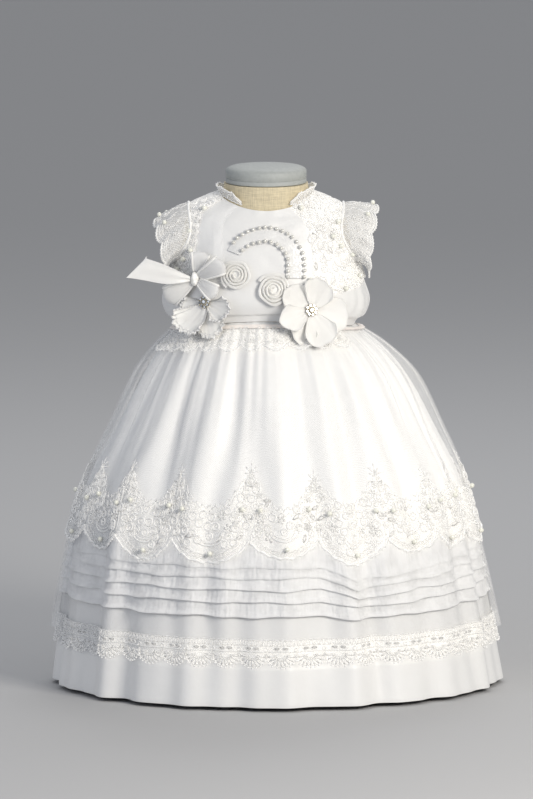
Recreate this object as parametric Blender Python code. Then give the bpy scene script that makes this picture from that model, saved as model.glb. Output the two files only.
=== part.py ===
"""A baby's christening gown on a limbless dress form.

The scene is in metres with +Z up. Sizes below are in millimetres, and every mesh is scaled to metres as
it is made. The origin is on the floor under the form's pole, the front faces -Y, and +X is the viewer's
right. An azimuth is in degrees, 0 at the front centre, growing towards +X, so 90 is the right side seam.

The bodice follows rings round the body, read from the BODY table. The skirt follows rings read from the
SKIRT table, pressed in along the folds of the FOLDS table. Every layer of cloth is made from the points
of one of these two forms, moved out by its lift.
"""

import math

import bmesh
import bpy
import numpy as np

TO_METRES = 0.001

# Walls and gaps
CLOTH = 1.2
LACE = 1.1
SEAM = 0.3
GAP = 0.4


def table(names, rows):
    """Columns by name, from one row of values for each section."""
    columns = zip(*rows)
    return {name: np.array(column, float) for name, column in zip(names.split(), columns)}


# Rings of the dress form from the hips to the top of the neck. The ease columns are what the bodice
# stands off the form, and rise lifts it over the shoulders.
BODY = table(
    "half_width side_height front_depth front_height back_depth back_height side_ease depth_ease rise",
    [
        (64, 270, 48, 270, 46, 270, 0, 0, 0),
        (77, 278, 58, 278, 55, 278, 0, 0, 0),
        (81, 308, 61, 308, 57, 308, 4, 4, 0),
        (79, 361, 59, 372, 55, 356, 8, 8, 0),
        (80, 373, 60, 382, 56, 369, 18, 11, 0),
        (82, 387, 61, 392, 57, 384, 20, 12, 0),
        (84, 404, 61, 407, 58, 403, 13, 9, 0),
        (85, 424, 60, 424, 58, 424, 6, 6, 0),
        (84, 447, 57, 443, 56, 443, 3, 4, 0.6),
        (81, 465, 53, 455, 53, 456, 2.0, 2.5, 0.9),
        (73, 477, 49, 464, 49, 466, 1.9, 2.2, 1.9),
        (57.5, 485.5, 45.5, 471.5, 46, 475, 1, 1.6, 1.5),
        (45, 491, 42.6, 479, 43, 484, 1, 1.2, 1.2),
        (42.6, 497, 41.4, 489, 42, 491, 0.8, 1, 0.9),
        (42, 503.5, 41, 503.5, 41, 503.5, 0.8, 1, 0.9),
    ],
)
ROUNDNESS = 2.2
HIP_LEVEL = 0
WAIST_LEVEL = 3
UNDERARM_LEVEL = 7
SHOULDER_LEVEL = 10
NECKLINE_LEVEL = 12
NECK_TOP_LEVEL = 14
WAIST_EDGE = 0.05
SQUARE_EDGE = 0.6
NEAR_AZIMUTH = 0.5
NEAR_LEVEL = 0.02
ARMHOLE_REACH = 33.0
BODICE_LEVELS = np.array([3.015, 3.6, 4.4, 5.2, 6.2, 7, 7.2, 7.75, 8.5, 9.25, 9.8, 10, 11, 12])
BODICE_FRONT_COLUMNS = 13
BODICE_BACK_COLUMNS = 7
YOKE_LEVELS = np.array([6.2, 7, 7.2, 7.75, 8.5, 9.25, 9.8, 10, 11, 12])

# Rings of the satin skirt, which is wider on its right side. The fold column scales the folds.
SKIRT = table(
    "height left right front back fold",
    [
        (361, 87, 87, 67, 63, 0.15),
        (335, 107, 119, 92, 90, 0.6),
        (305, 124, 142, 114, 112, 0.95),
        (262, 147, 165, 137, 137, 1.0),
        (215, 172, 189, 161, 161, 1.0),
        (178, 186, 202, 174, 175, 0.9),
        (4, 211, 234, 204, 208, 0.75),
    ],
)
SKIRT_STEP = 5.0
WAIST_RISE_FRONT = 11.0
WAIST_DIP_BACK = 5.0
WAIST_RISE_ENDS = 305.0
FOLD_REACH = 4.6
FOLD_FILL = 1.6

# Valleys between the skirt's folds.
FOLDS = table(
    "azimuth depth",
    [
        (-170, 6), (-155, 7), (-140, 5), (-125, 8), (-110, 6), (-95, 7), (-80, 5), (-65, 7),
        (-55, 5), (-40, 9), (-30, 6), (-15, 8), (-5, 4), (15, 8), (30, 9), (45, 7),
        (60, 6), (75, 7), (95, 5), (110, 8), (125, 6), (140, 7), (155, 5), (170, 8),
    ],
)

# The tucked tier, its five pintucks from the top down, and how far each sags at the right front fold.
TIER_TOP = 178.0
TIER_HEM = 68.0
TIER_LIFT = CLOTH + 0.7
TUCK_RIDGE = 1.4
TUCK_UNDERCUT = 1.0
TUCK_SHOULDER = 2.5
TUCKS = table("height sag", [(141, 16), (131, 14), (119.5, 11), (107.5, 8), (93.5, 5)])
SAG = table("azimuth share", [(-180, 0), (15, 0), (20, 0.45), (25, 1), (35, 0.72), (60, 0.3), (80, 0), (180, 0)])
TRIM_TOP = 71.0
TRIM_VALLEY = 50.0
TRIM_FAN = 6.0
TRIM_PITCH = 7.5
TRIM_STEP = 2.5
NET_ENDS = 80.0
NET = table("height lift", [(176, 3.6), (142, 5.2), (57, 8.6)])

# How far the tulle overlay stands off the satin, and how much more at the back, over the net.
OVERLAY = table(
    "height lift back_lift",
    [(361, 1.7, 0), (335, 5.5, 0), (305, 10, 0), (262, 8.5, 0), (215, 5.8, 0.6), (178, 3.7, 1.7), (140, 3.7, 3.8)],
)
BACK_LIFT_FROM = 65.0
BACK_LIFT_FULL = 75.0

# Scallops of the overlay's lace border, one after the other round the skirt.
SCALLOPS = table(
    "start tip_height peak_height",
    [
        (-180, 146, 236), (-155, 145, 232), (-135, 146, 238), (-110, 144, 230), (-90, 146, 236),
        (-70, 147, 232), (-50, 143, 238), (-30, 144, 236), (-5, 150, 240), (15, 141, 232),
        (35, 149, 236), (55, 147, 230), (70, 146, 238), (90, 145, 234), (110, 146, 238),
        (135, 144, 232), (155, 146, 236), (180, 146, 236),
    ],
)
VALLEY_HEIGHT = 166.0
SCALLOP_ROUND = 0.7
LEAF_POINT = 6
LACE_TOP = 200.0
LACE_SHOULDER = 222.0
LEAF_GAP = 2.6

# Narrow bands at the waist, by their heights on the skirt.
RIBBON = table("height lift", [(359.4, 3.7), (355, 4.8)])
PEPLUM = table("azimuth height", [(-75, 338), (-40, 340), (0, 341), (47.5, 343)])
PEPLUM_TOP = 353.5
PEPLUM_STEP = 2.5
PEPLUM_PITCH = 7.5
PEPLUM_SCALLOP = 4.0
PEPLUM_GAP = 1.4

# Lace yokes: azimuth of the inner edge at the underarm and at the neckline, the foot's level at its
# inner edge, the side (1 is right) and the azimuth that the yoke is measured from.
YOKES = {
    "lace_yoke_front_right": (28.0, 31.0, 5.4, 1, 0),
    "lace_yoke_front_left": (47.0, 60.0, 5.6, -1, 0),
    "lace_yoke_back_right": (16.0, 24.0, 5.6, 1, 180),
    "lace_yoke_back_left": (16.0, 24.0, 5.6, -1, 180),
}
YOKE_LIFT = CLOTH + 0.85
YOKE_COLUMNS = 6

# The organza drape lies between the left yoke and an inner edge, given at the underarm and neckline.
DRAPE_LEVELS = np.array([6.3, 7.4, 8.5, 9.5, 10.5, 11.3, 12])
DRAPE_INNER = (26.0, 36.0)
DRAPE_GAP = 1.5
DRAPE_COLUMNS = 4
DRAPE_LIFT = CLOTH + 1.0

# Cap sleeves: the scalloped edge is an oval out at the side.
SLEEVES = table(
    "side edge_x droop_x centre_height half_height half_depth",
    [(-1, 101, 7, 438, 28, 42), (1, 103, 5, 446, 33, 42)],
)
SLEEVE_COLUMNS = 27
SLEEVE_PITCH = 3
SLEEVE_SCALLOP = 0.16
SLEEVE_BULGE = 2.0
SLEEVE_LIFT = YOKE_LIFT + LACE + 1.2
SLEEVE_ROOT = 1.02

NECK_LACE = table("azimuth height", [(30, 4), (45, 9), (60, 12), (90, 10), (130, 8), (170, 8)])
NECK_LACE_STEPS = 18
NECK_LACE_PITCH = 3
NECK_LACE_WAVE = 2.0
NECK_LACE_LEAN = 1.5
NECK_LACE_FOOT = 2.4

# The ribbon band of the chest: a straight leg on the right, then an arch that widens to the left.
ARCH_CENTRE_X = 2.0
ARCH_CENTRE_HEIGHT = 428.0
ARCH = table("turn inner outer", [(0, 17.5, 36.5), (60, 19.5, 36.5), (110, 21.5, 37.5), (160, 29, 42)])
ARCH_ROWS = 15
ARCH_LEG = 12.5
ARCH_LIFT = CLOTH + 0.5

# Rosettes: x, height, radius and lift.
ROSETTES = {"rosette_left": (-29.0, 418.0, 15.0, 2.7), "rosette_right": (7.5, 404.0, 17.0, 2.1)}
ROSETTE_COLUMNS = 18
ROSETTE_SHARES = (1.0, 0.82, 0.64, 0.46, 0.28, 0.12)
ROSETTE_FOOT = 0.9
ROSETTE_DOME = 6.0
ROSETTE_CROWN = 1.25
ROSETTE_LEAST = 1.0
ROSETTE_RIDGE = 1.1
ROSETTE_TURNS = 3.0

# Cloth flowers: place seen from the front, lift, slope of the flower's face, and its petals.
PETAL_COLUMNS = "direction length half_width layer rise"
FLOWERS = {
    "flower_right": {
        "place": (43.0, 385.0),
        "lift": 3.9,
        "tilt": 0.24,
        "petals": table(
            PETAL_COLUMNS,
            [
                (135, 33, 13, 0, 6), (245, 36, 12, 0, 6), (355, 38, 16, 0, 5),
                (60, 31, 14, 1, 5), (203, 36, 12, 1, 7), (290, 38, 15, 1, 6),
            ],
        ),
    },
    "flower_left": {
        "place": (-59.5, 391.0),
        "lift": 0.7,
        "tilt": 0.2,
        "petals": table(
            PETAL_COLUMNS,
            [(208, 29, 12, 0, 4), (288, 36, 13, 0, 5), (242, 37, 14, 1, 6), (332, 30, 11, 1, 5)],
        ),
    },
}
PETAL = 1.1
PETAL_LAYER = 1.7
PETAL_ROOT = 4.5
PETAL_SHARES = np.array([0, 0.3, 0.6, 0.85, 1.0])
PETAL_COLUMNS_ACROSS = 4
PETAL_ROUND = 0.12
PETAL_WIDTHS = (0.04, 0.84)
PETAL_CUPS = (-1.0, 2.0)
JEWEL_RADIUS = 6.5
JEWEL_HEIGHT = 4.0
JEWEL_GAP = 0.6
JEWEL_COLUMNS = 12
JEWEL_PROFILE = [(0.85, 0), (1.0, 0.35), (0.8, 0.8), (0.4, 1.0)]

# The bow: its knot seen from the front, and the loops by the angle at which they leave it, their
# length, width, start and lean.
SATIN_RIBBON = 1.0
KNOT_X = -65.5
KNOT_HEIGHT = 412.0
KNOT_HALF = (4.0, 5.6, 7.2)
KNOT_LIFT = 9.4
KNOT_TURN = (0.6, 1, 0)
KNOT_COLUMNS = 10
KNOT_SLOPES = (-60, -25, 10, 45, 70)
LOOPS = {
    "bow_loop_upper": (78, 20, 17, 7.4, -0.2),
    "bow_loop_upper_right": (32, 32, 18, 5.1, -0.62),
    "bow_loop_lower_right": (-33, 24, 16, 5.2, -0.75),
    "bow_loop_lower_left": (-143, 33, 21, 5.2, 0.46),
}
LOOP_ROWS = 9
LOOP_OPEN = 0.045
LOOP_HALF_DEPTH = 4.2
LOOP_NECK = 0.26
LOOP_SWELL = 1.5
TAIL = table(
    "reach drop half_width forward",
    [(4.6, 0, 2.4, 1), (16, 2, 6, 3.5), (30, 5, 9.5, 4), (46, 9, 11, 3), (58, 12, 10.5, 2)],
)
TAIL_CUT = -10.5
TAIL_COLUMNS = 3

BUTTON_LEVELS = (4.3, 6.6, 9.0, 11.3)
BUTTON_RADIUS = 4.5
BUTTON_HEIGHT = 2.2
BUTTON_COLUMNS = 10
BUTTON_PROFILE = [(1.0, 0.0), (1.0, 0.45), (0.6, 0.9)]
PLACKET_HALF_WIDTH = 6.5
PLACKET_LIFT = CLOTH + 0.6

# The dress form
FORM_COLUMNS = 24
FORM_FOOT = 0.55
FORM_FOOT_DROP = 5.0
CAP_RADIUS = 40.5
CAP_PROFILE = [(1, 0), (1, 13), (0.85, 15.5), (0.45, 17.75)]
POLE_RADIUS = 9.0
BASE_RADIUS = 112.0
BASE_THICKNESS = 9.0
BASE_BEVEL = 2.5

SHARP_ANGLE = math.radians(40)
SATIN_WHITE = (0.93, 0.93, 0.94)
NET_WHITE = (0.9, 0.91, 0.94)
LACE_WHITE = (0.95, 0.95, 0.95)
RIBBON_CREAM = (0.93, 0.84, 0.78)
LINEN = (0.78, 0.68, 0.5)
CAP_GREY = (0.42, 0.44, 0.43)
JEWEL_SILVER = (0.8, 0.8, 0.78)


def clear_scene():
    """Removes what the scene holds."""
    for thing in list(bpy.data.objects):
        bpy.data.objects.remove(thing, do_unlink=True)


def make_material(name, colour, roughness, metallic=0.0):
    """A plain Principled material."""
    material = bpy.data.materials.new(name)
    material.use_nodes = True
    shader = material.node_tree.nodes["Principled BSDF"]
    shader.inputs["Base Color"].default_value = (*colour, 1.0)
    shader.inputs["Roughness"].default_value = roughness
    shader.inputs["Metallic"].default_value = metallic
    material.diffuse_color = (*colour, 1.0)
    return material


def add_mesh(name, points, faces, material):
    """An object of its own from closed points and faces, given in millimetres."""
    mesh = bpy.data.meshes.new(name)
    mesh.from_pydata((np.asarray(points) * TO_METRES).tolist(), [], faces)
    shell = bmesh.new()
    shell.from_mesh(mesh)
    bmesh.ops.recalc_face_normals(shell, faces=shell.faces)
    shell.to_mesh(mesh)
    shell.free()
    mesh.shade_smooth()
    mesh.set_sharp_from_angle(angle=SHARP_ANGLE)
    mesh.materials.append(material)
    thing = bpy.data.objects.new(name, mesh)
    bpy.context.collection.objects.link(thing)
    return thing


def sheet_faces(rows, columns, start, wrapped):
    """Triangles of a grid of points, two to a cell, always cut along the same diagonal."""
    faces = []
    for row in range(rows - 1):
        for column in range(columns if wrapped else columns - 1):
            here = start + row * columns + column
            beside = start + row * columns + (column + 1) % columns
            faces.append((here, beside, beside + columns))
            faces.append((here, beside + columns, here + columns))
    return faces


def rim_faces(first, second):
    """Triangles between two lines of points that run side by side, whatever their numbers of points."""
    faces = []
    i = 0
    j = 0
    while i < len(first) - 1 or j < len(second) - 1:
        next_first = (i + 1) / (len(first) - 1) if i < len(first) - 1 else 2.0
        next_second = (j + 1) / (len(second) - 1) if j < len(second) - 1 else 2.0
        if next_first <= next_second:
            faces.append((first[i], first[i + 1], second[j]))
            i += 1
        else:
            faces.append((first[i], second[j + 1], second[j]))
            j += 1
    return faces


def add_wall(name, inner, outer, material, wrapped=False):
    """A closed wall of cloth between two sheets of points. Their rows may differ in number."""
    columns = inner.shape[1]
    inner_rows = inner.shape[0]
    outer_rows = outer.shape[0]
    points = np.concatenate([inner.reshape(-1, 3), outer.reshape(-1, 3)])
    start = inner_rows * columns
    faces = [face[::-1] for face in sheet_faces(inner_rows, columns, 0, wrapped)]
    faces += sheet_faces(outer_rows, columns, start, wrapped)
    inside = np.arange(start).reshape(inner_rows, columns)
    outside = start + np.arange(outer_rows * columns).reshape(outer_rows, columns)
    for row in (0, -1):
        ends = slice(0, 1 if wrapped else 0)
        first = [*inside[row], *inside[row][ends]]
        second = [*outside[row], *outside[row][ends]]
        faces += rim_faces(first, second)
    if not wrapped:
        faces += rim_faces(list(inside[:, 0]), list(outside[:, 0]))
        faces += rim_faces(list(inside[:, -1]), list(outside[:, -1]))
    return add_mesh(name, points, [tuple(int(i) for i in face) for face in faces], material)


def add_stack(name, rings, material):
    """A solid through a stack of rings, closed by a point at each end."""
    rings = np.asarray(rings, float)
    rows, columns = rings.shape[:2]
    points = np.concatenate([rings.reshape(-1, 3), rings[0].mean(0)[None], rings[-1].mean(0)[None]])
    faces = sheet_faces(rows, columns, 0, True)
    foot = rows * columns
    last = (rows - 1) * columns
    for column in range(columns):
        beside = (column + 1) % columns
        faces.append((foot, beside, column))
        faces.append((foot + 1, last + column, last + beside))
    return add_mesh(name, points, faces, material)


def unit(vectors):
    """Vectors of length 1 along the last axis."""
    return vectors / np.linalg.norm(vectors, axis=-1, keepdims=True)


def sheet_normals(sheet, wrapped=False):
    """A sheet's normals, from the directions to each point's neighbours."""
    down = np.gradient(sheet, axis=0)
    if wrapped:
        across = np.roll(sheet, -1, axis=1) - np.roll(sheet, 1, axis=1)
    else:
        across = np.gradient(sheet, axis=1)
    return unit(np.cross(across, down))


def smooth(values, place):
    """A smooth curve through evenly spaced values, read at a place that is counted in rows."""
    most = len(values) - 1
    low = np.clip(np.floor(place).astype(int), 0, most - 1)
    part = place - low
    before = values[np.maximum(low - 1, 0)]
    first = values[low]
    second = values[low + 1]
    after = values[np.minimum(low + 2, most)]
    slope = second - before
    bend = 2 * before - 5 * first + 4 * second - after
    twist = 3 * first - before - 3 * second + after
    return first + 0.5 * part * (slope + part * (bend + part * twist))


def body_point(level, azimuth, eased=1.0):
    """A point of the dress form, or of the bodice when eased is 1."""
    level, azimuth = np.broadcast_arrays(np.asarray(level, float), np.asarray(azimuth, float))
    row = {name: smooth(values, level) for name, values in BODY.items()}
    sine = np.sin(np.radians(azimuth))
    cosine = np.cos(np.radians(azimuth))
    in_front = cosine > 0
    half_width = row["half_width"] + eased * row["side_ease"]
    depth = np.where(in_front, row["front_depth"], row["back_depth"]) + eased * row["depth_ease"]
    end_height = np.where(in_front, row["front_height"], row["back_height"])
    bulge = (np.abs(sine) ** ROUNDNESS + np.abs(cosine) ** ROUNDNESS) ** (-1 / ROUNDNESS)
    height = row["side_height"] + (end_height - row["side_height"]) * cosine**2 + eased * row["rise"]
    return np.stack([half_width * sine * bulge, -depth * cosine * bulge, height], axis=-1)


def bodice_normal(level, azimuth):
    """The bodice's outward direction, level at the waist so that the waist edge is cut square."""
    level, azimuth = np.broadcast_arrays(np.asarray(level, float), np.asarray(azimuth, float))
    turn = body_point(level, azimuth + NEAR_AZIMUTH) - body_point(level, azimuth - NEAR_AZIMUTH)
    climb = body_point(level + NEAR_LEVEL, azimuth) - body_point(level - NEAR_LEVEL, azimuth)
    normal = np.cross(turn, climb)
    squared = np.clip((level - WAIST_LEVEL - WAIST_EDGE) / SQUARE_EDGE, 0, 1)
    normal[..., 2] *= squared
    return unit(normal)


def bodice_point(level, azimuth, lift):
    """A point on the bodice, moved out by lift."""
    return body_point(level, azimuth) + np.asarray(lift)[..., None] * bodice_normal(level, azimuth)


def armhole_azimuth(level):
    """Azimuth of the armhole's front edge, or 90, the side seam, above and below it."""
    middle = (UNDERARM_LEVEL + SHOULDER_LEVEL) / 2
    half = (SHOULDER_LEVEL - UNDERARM_LEVEL) / 2
    part = np.clip(1 - ((level - middle) / half) ** 2, 0, 1)
    return 90 - ARMHOLE_REACH * np.sqrt(part)


def seam_angle(radius):
    """Half a seam's gap as degrees round a ring."""
    return math.degrees(SEAM / 2 / radius)


# A fine grid over the bodice's front, in which the place of an x and a height is looked up.
FRONT_STEPS = 500
FRONT_LEVELS, FRONT_AZIMUTHS = np.meshgrid(
    np.linspace(3.1, NECKLINE_LEVEL, FRONT_STEPS), np.linspace(-80, 80, FRONT_STEPS), indexing="ij"
)
FRONT_POINTS = body_point(FRONT_LEVELS, FRONT_AZIMUTHS)


def front_place(x, height):
    """Level and azimuth of the bodice's front at a place seen from the front."""
    miss = (FRONT_POINTS[..., 0] - x) ** 2 + (FRONT_POINTS[..., 2] - height) ** 2
    nearest = np.unravel_index(np.argmin(miss), miss.shape)
    return FRONT_LEVELS[nearest], FRONT_AZIMUTHS[nearest]


def front_point(x, height, lift):
    """A point on the bodice's front, moved out by lift, and the bodice's direction there."""
    level, azimuth = front_place(x, height)
    return bodice_point(level, azimuth, lift), bodice_normal(level, azimuth)


def waist_rise(azimuth, height):
    """How much higher the waist is at the front than at the sides. It fades out down the skirt."""
    cosine = np.cos(np.radians(azimuth))
    rise = np.where(cosine > 0, WAIST_RISE_FRONT, -WAIST_DIP_BACK) * cosine**2
    top = SKIRT["height"][0]
    return rise * np.clip((height - WAIST_RISE_ENDS) / (top - WAIST_RISE_ENDS), 0, 1)


def fold_depth(azimuth):
    """How far the folds carry the skirt in (negative) or out at an azimuth."""
    apart = (azimuth[..., None] - FOLDS["azimuth"] + 180) % 360 - 180
    return FOLD_FILL - (FOLDS["depth"] * np.exp(-((apart / FOLD_REACH) ** 2))).sum(-1)


def skirt_form():
    """The satin skirt's inner points and outward directions, a row per ring and a column per step."""
    azimuth = np.arange(0, 360, SKIRT_STEP)[None, :]
    sine = np.sin(np.radians(azimuth))
    cosine = np.cos(np.radians(azimuth))
    ring = {name: values[:, None] for name, values in SKIRT.items()}
    half_width = np.where(sine > 0, ring["right"], ring["left"])
    depth = np.where(cosine > 0, ring["front"], ring["back"])
    height = ring["height"] + waist_rise(azimuth, ring["height"])
    plain = np.stack([half_width * sine, -depth * cosine, height], axis=-1)
    normal = sheet_normals(plain[::-1], wrapped=True)[::-1]
    flat = unit(normal * (1, 1, 0))
    normal[0] = flat[0]
    folded = plain + flat * (ring["fold"] * fold_depth(azimuth))[..., None]
    return folded, normal


SKIRT_POINTS, SKIRT_NORMALS = skirt_form()


def skirt_point(azimuth, height, lift):
    """A point on the satin skirt's form, moved out by lift. Height is the ring's, at the sides."""
    azimuth, height, lift = np.broadcast_arrays(azimuth, height, lift)
    column = (azimuth / SKIRT_STEP) % SKIRT_POINTS.shape[1]
    left = np.floor(column).astype(int) % SKIRT_POINTS.shape[1]
    right = (left + 1) % SKIRT_POINTS.shape[1]
    across = (column - np.floor(column))[..., None]
    rings = np.arange(len(SKIRT["height"]))
    ring = np.interp(-height, -SKIRT["height"], rings)
    upper = np.minimum(np.floor(ring).astype(int), rings[-1] - 1)
    down = (ring - upper)[..., None]

    def blend(values):
        above = values[upper, left] * (1 - across) + values[upper, right] * across
        below = values[upper + 1, left] * (1 - across) + values[upper + 1, right] * across
        return above * (1 - down) + below * down

    return blend(SKIRT_POINTS) + lift[..., None] * blend(SKIRT_NORMALS)


def panel_azimuths(start, end, step, rows):
    """Azimuths of a skirt panel's columns, with half a seam's gap at each end."""
    azimuths = np.tile(np.arange(start, end + step / 2, step), (rows, 1))
    gap = seam_angle(SKIRT["right"].min())
    azimuths[:, 0] += gap
    azimuths[:, -1] -= gap
    return azimuths


def add_skirt_panels(name, step, shape, material):
    """A front and a back panel. shape gives the inner and the outer sheet for a row of azimuths."""
    for end, start in (("front", -90), ("back", 90)):
        azimuths = panel_azimuths(start, start + 180, step, 1)
        inner, outer = shape(azimuths)
        add_wall(f"{name}_{end}", inner, outer, material)


def make_underskirt(material):
    """The gathered satin underskirt, waist to hem."""

    def shape(azimuths):
        heights = SKIRT["height"][:, None]
        return skirt_point(azimuths, heights, 0.0), skirt_point(azimuths, heights, CLOTH)

    add_skirt_panels("underskirt", SKIRT_STEP, shape, material)


def tuck_rows(azimuths):
    """Heights and lifts of the tier's outer rows: each tuck is a ridge that falls back sharply."""
    wrapped = (azimuths + 180) % 360 - 180
    share = np.interp(wrapped, SAG["azimuth"], SAG["share"])
    plain_lift = TIER_LIFT + CLOTH
    rows = [(np.full_like(wrapped, TIER_TOP), plain_lift)]
    for number, (height, sag) in enumerate(zip(TUCKS["height"], TUCKS["sag"])):
        ridge = height - sag * share
        if number == 0:
            rows.append((ridge + TUCK_SHOULDER, plain_lift))
        rows.append((ridge, plain_lift + TUCK_RIDGE))
        rows.append((ridge - TUCK_UNDERCUT, plain_lift))
    rows.append((np.full_like(wrapped, TIER_HEM), plain_lift))
    return rows


def make_tier(material):
    """The organza tier with its five pintucks, which lies on the underskirt."""

    def shape(azimuths):
        inner = [skirt_point(azimuths[0], height, TIER_LIFT) for height in (TIER_TOP, TIER_HEM)]
        outer = [skirt_point(azimuths[0], height, lift) for height, lift in tuck_rows(azimuths[0])]
        return np.stack(inner), np.stack(outer)

    add_skirt_panels("tucked_tier", SKIRT_STEP, shape, material)


def make_tier_trim(material):
    """The guipure trim along the tier's lower edge, a row of small fans."""

    def shape(azimuths):
        fan = np.abs(np.sin(np.pi * azimuths / TRIM_PITCH))
        heights = np.concatenate([np.full_like(azimuths, TRIM_TOP), TRIM_VALLEY - TRIM_FAN * fan])
        lift = TIER_LIFT + CLOTH + GAP
        return skirt_point(azimuths, heights, lift), skirt_point(azimuths, heights, lift + LACE)

    add_skirt_panels("tier_trim", TRIM_STEP, shape, material)


def make_net_tier(material):
    """The plain net tier round the back, whose ends stand out at both sides."""
    azimuths = np.arange(NET_ENDS, 360 - NET_ENDS + SKIRT_STEP / 2, SKIRT_STEP)[None, :]
    heights = NET["height"][:, None]
    lifts = NET["lift"][:, None]
    inner = skirt_point(azimuths, heights, lifts)
    add_wall("net_tier_back", inner, skirt_point(azimuths, heights, lifts + LACE), material)


def overlay_lift(azimuth, height):
    """How far the tulle overlay stands off the satin."""
    turned = np.abs((azimuth + 180) % 360 - 180)
    share = np.clip((turned - BACK_LIFT_FROM) / (BACK_LIFT_FULL - BACK_LIFT_FROM), 0, 1)
    lift = np.interp(-height, -OVERLAY["height"], OVERLAY["lift"])
    return lift + share * np.interp(-height, -OVERLAY["height"], OVERLAY["back_lift"])


def scallop_edges(azimuths):
    """Heights of the lace border's lower and upper edge, from the scallop at each azimuth."""
    wrapped = (azimuths + 180) % 360 - 180
    starts = SCALLOPS["start"]
    index = np.clip(np.searchsorted(starts, wrapped, side="right") - 1, 0, len(starts) - 2)
    across = (wrapped - starts[index]) / (starts[index + 1] - starts[index])
    tip = SCALLOPS["tip_height"][index]
    nearest = index + (across > 0.5)
    peak = SCALLOPS["peak_height"][nearest]
    lower = VALLEY_HEIGHT - (VALLEY_HEIGHT - tip) * np.sin(np.pi * across) ** SCALLOP_ROUND
    upper = LACE_TOP + (peak - LACE_TOP) * np.abs(np.cos(np.pi * across)) ** LEAF_POINT
    return lower, upper


def make_overlay(material):
    """The tulle overlay, gathered at the waist, down to its scalloped edge."""

    def shape(azimuths):
        lower, _ = scallop_edges(azimuths)
        rings = SKIRT["height"][:-1, None] + 0 * azimuths
        heights = np.concatenate([rings, lower])
        lift = overlay_lift(azimuths, heights)
        return skirt_point(azimuths, heights, lift), skirt_point(azimuths, heights, lift + LACE)

    add_skirt_panels("tulle_overlay", SKIRT_STEP, shape, material)


def make_lace_border(material):
    """The corded lace border, scalloped below and with a pointed leaf above each valley."""

    def shape(azimuths):
        lower, upper = scallop_edges(azimuths)
        kink = SKIRT["height"][-2]
        bend = SKIRT["height"][-3]
        second = np.where(upper > LACE_SHOULDER, bend, (upper + kink) / 2)
        heights = np.concatenate([upper, second, np.full_like(upper, kink), lower])
        gap = np.interp(heights, (kink, LACE_TOP), (GAP, LEAF_GAP))
        lift = overlay_lift(azimuths, heights) + LACE + gap
        return skirt_point(azimuths, heights, lift), skirt_point(azimuths, heights, lift + LACE)

    add_skirt_panels("lace_border", SKIRT_STEP, shape, material)


def make_waist(lace, ribbon):
    """The narrow waist ribbon all round, and the lace peplum that falls from under it."""
    azimuths = np.arange(0, 360, SKIRT_STEP)[None, :]
    heights = RIBBON["height"][:, None]
    lifts = RIBBON["lift"][:, None]
    inner = skirt_point(azimuths, heights, lifts)
    outer = skirt_point(azimuths, heights, lifts + LACE)
    add_wall("waist_ribbon", inner, outer, ribbon, wrapped=True)
    first = PEPLUM["azimuth"][0]
    azimuths = np.arange(first, PEPLUM["azimuth"][-1] + PEPLUM_STEP / 2, PEPLUM_STEP)[None, :]
    wave = np.abs(np.sin(np.pi * (azimuths - first) / PEPLUM_PITCH))
    foot = np.interp(azimuths, PEPLUM["azimuth"], PEPLUM["height"]) - PEPLUM_SCALLOP * wave
    heights = np.concatenate([np.full_like(foot, PEPLUM_TOP), foot])
    lift = overlay_lift(azimuths, heights) + LACE + PEPLUM_GAP
    inner = skirt_point(azimuths, heights, lift)
    add_wall("lace_peplum", inner, skirt_point(azimuths, heights, lift + LACE), lace)


def make_bodice(satin):
    """The satin bodice: one front, and two backs that meet at the centre back."""
    levels = BODICE_LEVELS[:, None]
    edge = armhole_azimuth(levels)
    gap = seam_angle(BODY["half_width"][NECKLINE_LEVEL])
    across = np.linspace(-1, 1, BODICE_FRONT_COLUMNS)[None, :]
    sheets = {"bodice_front": across * (edge - gap)}
    share = np.linspace(0, 1, BODICE_BACK_COLUMNS)[None, :]
    back = 180 - gap - share * (edge - 2 * gap)
    sheets["bodice_back_right"] = back
    sheets["bodice_back_left"] = -back
    for name, azimuths in sheets.items():
        inner = bodice_point(levels, azimuths, 0.0)
        outer = bodice_point(levels, azimuths, CLOTH)
        add_wall(name, inner, outer, satin)


def make_placket(satin):
    """The centre back placket with its four covered buttons."""
    levels = BODICE_LEVELS[:, None]
    reach = np.degrees(PLACKET_HALF_WIDTH / BODY["back_depth"].max())
    azimuths = 180 + np.array([-reach, 0, reach])[None, :]
    inner = bodice_point(levels, azimuths, PLACKET_LIFT)
    add_wall("back_placket", inner, bodice_point(levels, azimuths, PLACKET_LIFT + CLOTH), satin)
    for number, level in enumerate(BUTTON_LEVELS, 1):
        foot = bodice_point(level, 180.0, PLACKET_LIFT + CLOTH + GAP)
        frame = face_frame(bodice_normal(level, 180.0), (0, 0, 1))
        rings = dome_rings(foot, frame, BUTTON_RADIUS, BUTTON_HEIGHT, BUTTON_PROFILE, BUTTON_COLUMNS)
        add_stack(f"back_button_{number}", rings, satin)


def face_frame(normal, up):
    """Right, up and outward directions of a face that looks along normal."""
    normal = unit(np.asarray(normal, float))
    right = unit(np.cross(np.asarray(up, float), normal))
    return right, np.cross(normal, right), normal


def dome_rings(foot, frame, radius, height, profile, columns):
    """Rings of a round dome on a face. profile holds shares of the radius and of the height."""
    right, up, normal = frame
    turn = np.arange(columns)[:, None] * 2 * np.pi / columns
    circle = right * np.cos(turn) + up * np.sin(turn)
    return [foot + circle * radius * out + normal * height * rise for out, rise in profile]


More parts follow.
